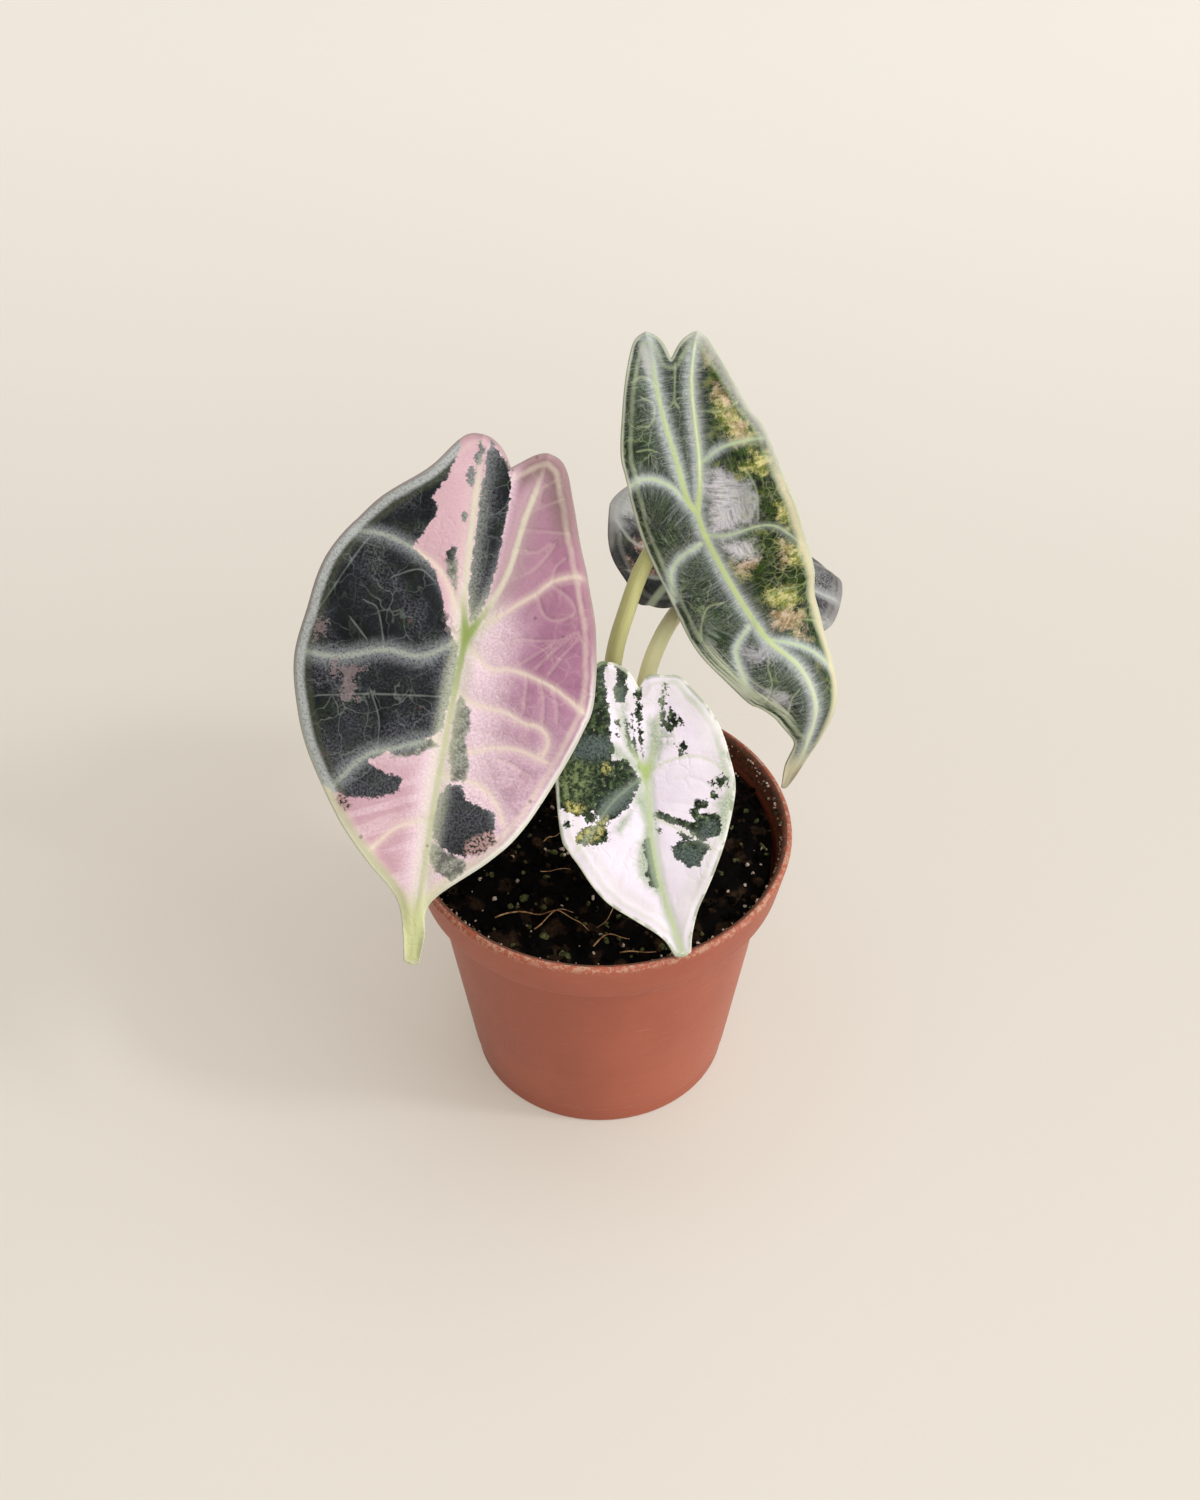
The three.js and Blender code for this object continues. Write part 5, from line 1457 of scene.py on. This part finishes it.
def floor_material():
    """A warm white board that glows a little, more so to the back: painted light that lifts the shadows on
    it.
    """
    g = Graph("floor_surface")
    place = g.node("ShaderNodeTexCoord", {}).outputs["Object"]
    cloud = g.noise(place, 1.6, 3.0)
    fine = g.noise(place, 900.0, 2.0)
    base = g.mix(g.step(cloud, 0.3, 0.7), rgb(178, 174, 168), rgb(184, 180, 174))
    # Painted light: the board's own glow, stronger towards the back
    back = g.step(g.split(place)[1], 0.05, 0.33)
    glow = g.mix(back, rgb(150, 142, 130), rgb(176, 170, 160))
    return g.finish(base, 0.85, fine, 0.03, 0.1, glow)


# Stalks

PETIOLE_ROUTES = {
    "pink": [(-2, 3.2), [(-3.4, 3.8, 54), (-9, 5.6, 70)]],
    "white": [(2.4, 0.2), [(2.9, 0, 52), (4.1, -1.8, 60)]],
    "green": [(1.6, 6.6), [(1.5, 6.6, 60), (2, 6.8, 76.4), (3.7, 7.4, 85), (7.6, 10, 95.4)]],
    "back": [(6.6, 4.8), [(6.4, 4.9, 58), (7, 7, 72.5), (9.4, 11, 77.8)]],
}
TUBE_SIDES = 28
STALK_RINGS = 70
SHEATH_TOP_Z = 56.0
SHEATH_FLARE = 0.55


def even_curve(points, count):
    """A smooth curve through the points, read at even steps of its length."""
    points = np.asarray(points, float)
    ahead = 2 * points[-1] - points[-2]
    behind = 2 * points[0] - points[1]
    padded = np.vstack([behind, points, ahead])
    pieces = []
    for k in range(len(points) - 1):
        p0, p1, p2, p3 = padded[k:k + 4]
        d0, d1, d2 = (np.sqrt(np.linalg.norm(b - a)) for a, b in ((p0, p1), (p1, p2), (p2, p3)))
        t1 = ((p1 - p0) / d0 - (p2 - p0) / (d0 + d1) + (p2 - p1) / d1) * d1
        t2 = ((p2 - p1) / d1 - (p3 - p1) / (d1 + d2) + (p3 - p2) / d2) * d1
        t = np.linspace(0, 1, 40, endpoint=False)[:, None]
        cubic = -3 * p1 + 3 * p2 - 2 * t1 - t2
        pieces.append(p1 + t1 * t + cubic * t**2 + (2 * p1 - 2 * p2 + t1 + t2) * t**3)
    dense = np.vstack([*pieces, points[-1:]])
    knots = chord_knots(dense)
    at = np.linspace(0, knots[-1], count)
    return np.stack([np.interp(at, knots, dense[:, k]) for k in range(3)], 1)


def ring_faces(rings, sides):
    """Faces between each ring of points and the next one."""
    faces = []
    for i in range(rings - 1):
        for j in range(sides):
            a, b = i * sides + j, i * sides + (j + 1) % sides
            faces.append((a, b, b + sides, a + sides))
    return faces


def tube(centres, radii, sides):
    """Rings round a line, with the faces between them and at the two ends."""
    along = unit(np.gradient(centres, axis=0))
    side = np.array([1.0, 0.0, 0.0])
    points = []
    turn = np.linspace(0, 2 * np.pi, sides, endpoint=False)
    for centre, direction, radius in zip(centres, along, radii):
        side = side - side.dot(direction) * direction
        side = side / np.linalg.norm(side)
        other = np.cross(direction, side)
        ring = np.outer(np.cos(turn), side) + np.outer(np.sin(turn), other)
        points.append(centre + radius * ring)
    faces = ring_faces(len(centres), sides)
    last = (len(centres) - 1) * sides
    faces.append(tuple(reversed(range(sides))))
    faces.append(tuple(range(last, last + sides)))
    return np.vstack(points), faces


def joined(parts):
    """Several sets of points and faces made into one."""
    points, faces, count = [], [], 0
    for part_points, part_faces in parts:
        points.append(part_points)
        faces += [tuple(v + count for v in face) for face in part_faces]
        count += len(part_points)
    return np.vstack(points), faces


def stalk_line(table, route):
    """Where the stalk's axis runs, from the corm up to the blade's junction."""
    foot, bends = route
    origin, _, out, _, _ = Blade(table).frame(np.array([0.0]))
    depth = BLADE_THICKNESS / 2 + MIDRIB_RELIEF + TOP_GROOVE + GAP
    end = origin[0] - depth * out[0]
    elbow = end - ELBOW * out[0]
    sunk = end + (depth - BLADE_THICKNESS / 2) * out[0]
    points = [(*foot, PETIOLE_FOOT_Z), (*foot, SOIL_LEVEL), *bends, elbow, end]
    return np.vstack([even_curve(points, STALK_RINGS), sunk[None]])


def make_stalk(name, table, route, painted_light, material):
    centres = stalk_line(table, route)
    length = chord_knots(centres)[-1]
    share = chord_knots(centres) / length
    radii = PETIOLE_BASE_RADIUS + (PETIOLE_TOP_RADIUS - PETIOLE_BASE_RADIUS) * np.sqrt(share)
    radii = radii + SHEATH_FLARE * smooth_step(centres[:, 2], SHEATH_TOP_Z, SOIL_LEVEL)
    ring_points, faces = tube(centres, radii, TUBE_SIDES)
    piece = mesh_object(name, ring_points, faces, {
        "along": np.repeat(share, TUBE_SIDES),
        "painted_light": np.full(len(centres) * TUBE_SIDES, painted_light),
    })
    turn = np.tile(np.linspace(0, 2 * np.pi, TUBE_SIDES, endpoint=False), len(centres))
    lay = np.stack([np.cos(turn), np.repeat(share * length, TUBE_SIDES), np.sin(turn)], 1)
    vector_attribute(piece.data, "lay", lay * (PETIOLE_BASE_RADIUS, 1, PETIOLE_BASE_RADIUS))
    fit_part(piece, name.replace("stalk", "petiole"), "stalk_green", material)


# Pot and potting mix

POT_SIDES = 192
DRAIN_SIDES = 32
SHARP_ANGLE = 40
COLLAR_Z = POT_HEIGHT - COLLAR_HEIGHT
COLLAR_RADIUS = RIM_RADIUS - COLLAR_TAPER


def body_radius(z):
    widening = (COLLAR_RADIUS - COLLAR_STEP - BODY_FOOT_RADIUS) / (COLLAR_Z - FOOT_HEIGHT)
    return BODY_FOOT_RADIUS + widening * (z - FOOT_HEIGHT)


def inner_profile(margin):
    """Inside of the pot, or of what fills it with the margin left free."""
    collar_radius = COLLAR_RADIUS - WALL - margin
    return [
        (body_radius(FLOOR) - WALL - 1 - margin, FLOOR + margin),
        (body_radius(FLOOR + 1.2) - WALL - margin, FLOOR + 1.2 + margin),
        (body_radius(COLLAR_Z - 1.2) - WALL - margin, COLLAR_Z - 1.2 + margin),
        (collar_radius - 0.6, COLLAR_Z + 0.9 + margin),
        (collar_radius, COLLAR_Z + 1.9 + margin),
        (RIM_RADIUS - LIP_THICKNESS - margin, POT_HEIGHT - 0.5),
    ]


def rounded(profile, reach):
    """The profile with each corner cut back and rounded."""
    profile = np.asarray(profile, float)
    result = [profile[0]]
    for before, corner, after in zip(profile[:-2], profile[1:-1], profile[2:]):
        near = before - corner
        far = after - corner
        cut = min(reach, 0.45 * np.linalg.norm(near), 0.45 * np.linalg.norm(far))
        start = corner + cut * unit(near)
        end = corner + cut * unit(far)
        for t in np.linspace(0, 1, 5):
            result.append((1 - t)**2 * start + 2 * t * (1 - t) * corner + t**2 * end)
    result.append(profile[-1])
    return np.array(result)


def lathe(profile, sides, first_pole, last_pole):
    """A profile of radii and heights turned round the upright axis and
    closed to a point at each end."""
    turn = np.linspace(0, 2 * np.pi, sides, endpoint=False)
    circle = np.stack([np.cos(turn), np.sin(turn)], 1)
    points = np.vstack([np.hstack([circle * radius, np.full((sides, 1), z)]) for radius, z in profile])
    faces = ring_faces(len(profile), sides)
    first, last = len(points), len(points) + 1
    top = (len(profile) - 1) * sides
    faces += [(first, (j + 1) % sides, j) for j in range(sides)]
    faces += [(last, top + j, top + (j + 1) % sides) for j in range(sides)]
    return np.vstack([points, [0, 0, first_pole], [0, 0, last_pole]]), faces


def pot_profile():
    outside = [
        (FOOT_RADIUS - 5, 0), (FOOT_RADIUS - 0.4, 0), (FOOT_RADIUS, 0.4),
        (BODY_FOOT_RADIUS - 0.35, FOOT_HEIGHT - 0.3), (BODY_FOOT_RADIUS, FOOT_HEIGHT + 0.1),
        (body_radius(COLLAR_Z - 0.9), COLLAR_Z - 0.9), (body_radius(COLLAR_Z) + 0.7, COLLAR_Z - 0.1),
        (COLLAR_RADIUS, COLLAR_Z + 1.3), (RIM_RADIUS, POT_HEIGHT - 0.5),
        (RIM_RADIUS - 0.45, POT_HEIGHT), (RIM_RADIUS - LIP_THICKNESS + 0.45, POT_HEIGHT),
    ]
    inside = [*reversed(inner_profile(0)), (body_radius(FLOOR) - WALL - 4, FLOOR)]
    return rounded(outside + inside, 0.5)


def faces_inside(points):
    """Which points of the pot lie on its inner side."""
    heights = [FLOOR, COLLAR_Z, POT_HEIGHT]
    body_middles = [body_radius(FLOOR) - WALL / 2, body_radius(COLLAR_Z) - WALL / 2]
    middles = [*body_middles, RIM_RADIUS - LIP_THICKNESS / 2]
    radius = np.hypot(points[:, 0], points[:, 1])
    return (radius < np.interp(points[:, 2], heights, middles)) & (points[:, 2] > FLOOR - 0.1)


def drain_cutter():
    """A round bar for each drain hole, all in one mesh."""
    bars = []
    for i in range(DRAIN_COUNT):
        turn = (i + 0.5) / DRAIN_COUNT * 2 * np.pi
        x, y = DRAIN_RING_RADIUS * np.cos(turn), DRAIN_RING_RADIUS * np.sin(turn)
        ends = np.array([[x, y, -3.0], [x, y, 5.0]])
        bars.append(tube(ends, [DRAIN_RADIUS] * 2, DRAIN_SIDES))
    return mesh_object("drain_cutter", *joined(bars))


def make_pot(material):
    points, faces = lathe(pot_profile(), POT_SIDES, 0.0, FLOOR)
    pot = mesh_object("pot_shell", points, faces, {"inner": faces_inside(points)})
    cutter = drain_cutter()
    cut = pot.modifiers.new("drains", "BOOLEAN")
    cut.operation, cut.object, cut.solver = "DIFFERENCE", cutter, "EXACT"
    holed = bpy.data.meshes.new_from_object(pot.evaluated_get(bpy.context.evaluated_depsgraph_get()))
    pot.modifiers.clear()
    pot.data = holed
    pot.data.name = "pot_shell"
    bpy.data.objects.remove(cutter)
    pot.data.set_sharp_from_angle(angle=math.radians(SHARP_ANGLE))
    fit_part(pot, "pot", "pot_plastic", material)


MIX_RADIUS = COLLAR_RADIUS - WALL - GAP
MIX_SIDES = 200
MIX_RINGS = 74


def soil_height(x, y):
    """Height of the loose surface of the mix, higher in the middle."""
    inward = 1 - np.hypot(x, y) / MIX_RADIUS
    lumps = np.sin(0.62 * x + 1.3) * np.cos(0.55 * y - 0.4)
    lumps = lumps + 0.6 * np.sin(1.1 * x - 0.9 * y) + 0.5 * np.cos(0.95 * y + 0.7 * x + 2)
    level = SOIL_LEVEL + SOIL_LUMP * lumps * np.minimum(1, 5 * inward)
    return level + 1.1 * np.minimum(1, 1.6 * inward)


def crumb_noise(points, scale, octaves=4):
    return np.array([noise.fractal(Vector(p) * scale, 1.0, 2.0, octaves) for p in points])


def make_soil(material):
    """The mix as one body, its top face roughened into loose soil."""
    walls = [(r, z) for r, z in inner_profile(GAP) if z < SOIL_LEVEL - 1]
    rings = np.linspace(1, 0.012, MIX_RINGS) * MIX_RADIUS
    profile = rounded(walls, 0.4).tolist() + [(r, SOIL_LEVEL) for r in rings]
    points, faces = lathe(profile, MIX_SIDES, walls[0][1], SOIL_LEVEL)
    top = points[:, 2] >= SOIL_LEVEL - 1e-6
    x, y = points[top, 0], points[top, 1]
    inward = np.clip((MIX_RADIUS - np.hypot(x, y)) / 1.2, 0, 1)
    rough = 0.75 * crumb_noise(points[top], 0.55) * inward
    points[top, 2] = soil_height(x, y) + np.clip(rough, -0.9, 0.9)
    tint = np.clip(0.12 + 0.3 * crumb_noise(points, 0.35, 2), 0, 0.3) * top
    body = mesh_object("soil_body", points, faces, {"tint": tint})
    fit_part(body, "soil", "potting_mix", material)


CRUMB_COUNT = 1250
CRUMB_SHAPES = 10
GRAIN_COUNT = 420
LOOSE_FIBRES = 5
FIBRE_POINTS = 22
FIBRE_SIDES = 7


def ball():
    """A round crumb to start from."""
    shape = bmesh.new()
    bmesh.ops.create_icosphere(shape, subdivisions=2, radius=1.0)
    points = np.array([v.co[:] for v in shape.verts])
    faces = [[v.index for v in face.verts] for face in shape.faces]
    shape.free()
    return points, faces


def crumb_shapes(rng):
    points, faces = ball()
    shapes = []
    for _ in range(CRUMB_SHAPES):
        offset = rng.uniform(-50, 50, 3)
        bumps = crumb_noise(points + offset, 0.9, 3)
        shapes.append(points * (1 + 0.42 * bumps[:, None]))
    return shapes, faces


def scatter(name, rng, places, sizes, tints, material):
    """One piece of many crumbs, each turned, squashed and tinted its own way."""
    shapes, faces = crumb_shapes(rng)
    points, triangles, tint = [], [], []
    for k, (place, size) in enumerate(zip(places, sizes)):
        shape = shapes[rng.integers(len(shapes))]
        turn = Matrix.Rotation(rng.uniform(0, 6.28), 3, unit(rng.normal(size=3)))
        squash = rng.uniform(0.6, 1.25, 3)
        points.append(shape * squash * size @ np.array(turn) + place)
        triangles.append(np.array(faces) + k * len(shape))
        tint.append(np.full(len(shape), tints[k]))
    faces = np.vstack(triangles).tolist()
    tint = {"tint": np.concatenate(tint)}
    piece = mesh_object(name, np.vstack(points), faces, tint, smooth=False)
    fit_part(piece, None, "potting_mix", material)


def make_crumbs(material):
    """Grit, moss and pale grains that lie on the mix, clear of the stalks."""
    rng = np.random.default_rng(SEED)
    count = CRUMB_COUNT
    reach = RIM_RADIUS - LIP_THICKNESS - 1.6
    radius = reach * np.sqrt(rng.uniform(0, 1, count))
    turn = rng.uniform(0, 2 * np.pi, count)
    x, y = radius * np.cos(turn), radius * np.sin(turn)
    size = 0.24 + 0.8 * rng.beta(1.2, 5.0, count)
    z = soil_height(x, y) + size * rng.uniform(-0.2, 0.5, count)
    kind = rng.uniform(0, 1, count)
    tints = np.select([kind < 0.55, kind < 0.72, kind < 0.89], [0.05, 0.35, 0.6], 0.9)
    size = np.where(tints > 0.7, size * 0.62, size)
    clear = np.ones(count, bool)
    for foot, _ in PETIOLE_ROUTES.values():
        clear &= np.hypot(x - foot[0], y - foot[1]) > PETIOLE_BASE_RADIUS + size + 0.4
    places = np.stack([x, y, z], 1)[clear]
    scatter("soil_crumbs", rng, places, size[clear], tints[clear], material)


def make_lip_dust(material):
    """Grains of dried mix along the inside of the lip."""
    rng = np.random.default_rng(SEED + 5)
    count = GRAIN_COUNT
    turn = rng.uniform(0, 2 * np.pi, count)
    clump = 0.5 + 0.5 * np.sin(3 * turn + 1.5) * np.sin(7 * turn)
    size = 0.1 + 0.22 * rng.uniform(0, 1, count) * clump
    z = POT_HEIGHT - 0.2 - 2.6 * rng.beta(1.2, 2.0, count)
    heights = [POT_HEIGHT - 6.5, POT_HEIGHT - 0.5]
    radius = np.interp(z, heights, [RIM_RADIUS - 3.0, RIM_RADIUS - LIP_THICKNESS]) - size * 0.55
    tints = np.where(rng.uniform(0, 1, count) < 0.62, 0.9, 0.6)
    places = np.stack([radius * np.cos(turn), radius * np.sin(turn), z], 1)
    scatter("lip_dust", rng, places, size, tints, material)


FIBRE_LINES = [
    [(-16, -17), (-13, -16.2), (-9, -16.4), (-5, -17.5), (-1, -20.4)],
    [(-10, -19), (-7, -17), (-4, -16.2)],
    [(-1, -23), (2, -21.3), (4.5, -20.6)],
    [(3, -24), (6, -24.2), (8.5, -23.6)],
]


def loose_lines():
    """Short wandering lines for the thinnest fibres."""
    rng = np.random.default_rng(SEED + 9)
    lines = []
    for _ in range(LOOSE_FIBRES):
        start = rng.uniform(-20, 20, 2)
        heading = rng.uniform(0, 2 * np.pi)
        line = [start]
        for _ in range(4):
            heading += rng.uniform(-0.6, 0.6)
            line.append(line[-1] + rng.uniform(0.8, 1.8) * np.array([np.cos(heading), np.sin(heading)]))
        lines.append(np.array(line))
    return lines


def make_fibres(material):
    """Dry fibres that arch a little over the mix."""
    fibres = []
    for k, line in enumerate(FIBRE_LINES + loose_lines()):
        flat = smooth_line(line, FIBRE_POINTS)
        if np.hypot(*flat.T).max() > RIM_RADIUS - LIP_THICKNESS - 1.5:
            continue
        z = soil_height(flat[:, 0], flat[:, 1]) + 0.45
        z = z + 0.7 * np.sin(np.linspace(0, np.pi, len(flat)))
        centres = np.hstack([flat, z[:, None]])
        radii = (0.13 if k < len(FIBRE_LINES) else 0.08) * (1 - 0.6 * np.linspace(0, 1, len(flat)))
        fibres.append(tube(centres, radii, FIBRE_SIDES))
    piece = mesh_object("root_fibres", *joined(fibres))
    fit_part(piece, None, "corm_skin", material)


# Floor, light and camera

FLOOR_REACH = 4000


def make_floor():
    points = [(x * FLOOR_REACH, y * FLOOR_REACH, 0) for x, y in ((-1, -1), (1, -1), (1, 1), (-1, 1))]
    floor = mesh_object("floor", points, [(0, 1, 2, 3)], smooth=False)
    floor.data.materials.append(floor_material())


# Name, place, target, side of the square, power and colour, in metres and watts
LAMPS = [
    ("sun", (1.44, -0.41, 1.27), (0, 0, 0.04), 0.24, 9.0, (1.0, 1.0, 1.0)),
    ("window", (1.3, -0.55, 0.75), (0, 0, 0.05), 1.1, 9.5, (1.0, 1.0, 1.0)),
    ("ceiling", (0.45, 0.45, 1.65), (0.05, 0.05, 0), 2.2, 17.5, (1.0, 0.99, 0.975)),
    ("card", (0.15, -0.82, 0.72), (0, 0, 0.06), 0.7, 2.8, (1.0, 0.99, 0.97)),
]
FILL_COLOUR = (1.0, 0.965, 0.91, 1.0)
FILL_STRENGTH = 0.29


def make_lamp(name, place, target, side, power, colour):
    data = bpy.data.lights.new(name, "AREA")
    data.size = side
    data.energy = power
    data.color = colour
    lamp = bpy.data.objects.new(name, data)
    lamp.location = place
    lamp.rotation_euler = (Vector(target) - Vector(place)).to_track_quat("-Z", "Y").to_euler()
    bpy.context.scene.collection.objects.link(lamp)


def make_light():
    for lamp in LAMPS:
        make_lamp(*lamp)
    world = bpy.data.worlds.new("fill")
    bpy.context.scene.world = world
    world.use_nodes = True
    background = world.node_tree.nodes["Background"]
    background.inputs["Color"].default_value = FILL_COLOUR
    background.inputs["Strength"].default_value = FILL_STRENGTH
    bpy.context.scene.view_settings.view_transform = "Standard"


CAMERA_PLACE = (0.0, -0.32714, 0.38222)
CAMERA_TILT = 45.83
LENS = 72.0
SENSOR = 36.0


def make_camera():
    data = bpy.data.cameras.new("camera")
    data.lens, data.sensor_width, data.sensor_fit = LENS, SENSOR, "AUTO"
    data.clip_start, data.clip_end = 0.01, 50.0
    camera = bpy.data.objects.new("camera", data)
    camera.location = CAMERA_PLACE
    camera.rotation_euler = (math.radians(CAMERA_TILT), 0.0, 0.0)
    bpy.context.scene.collection.objects.link(camera)
    bpy.context.scene.camera = camera


make_camera()
make_light()
make_floor()

blades = {
    "leaf_pink": (PINK, "blade_pink", pink_material),
    "leaf_white": (WHITE, "blade_white", white_material),
    "leaf_green": (GREEN, "blade_green", green_material),
    "leaf_back": (BACK, "blade_back", back_material),
}
for node, (table, slot, make_material) in blades.items():
    fit_part(blade_mesh(f"{node}_fine", table), node, slot, make_material())

stalk_surface = stalk_material()
# How much painted light each stalk gets: the back stalk lies in the green blade's shade and is painted
# paler, as if lit
stalks = {"pink": (PINK, 0.0), "white": (WHITE, 0.0), "green": (GREEN, 0.1), "back": (BACK, 1.0)}
for key, (table, painted_light) in stalks.items():
    make_stalk(f"stalk_{key}", table, PETIOLE_ROUTES[key], painted_light, stalk_surface)

mix_surface = soil_material()
make_pot(pot_material())
make_soil(mix_surface)
make_crumbs(mix_surface)
make_lip_dust(mix_surface)
make_fibres(fibre_material())

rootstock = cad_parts["rootstock"]
rootstock.data.materials.clear()
rootstock.data.materials.append(corm_material())
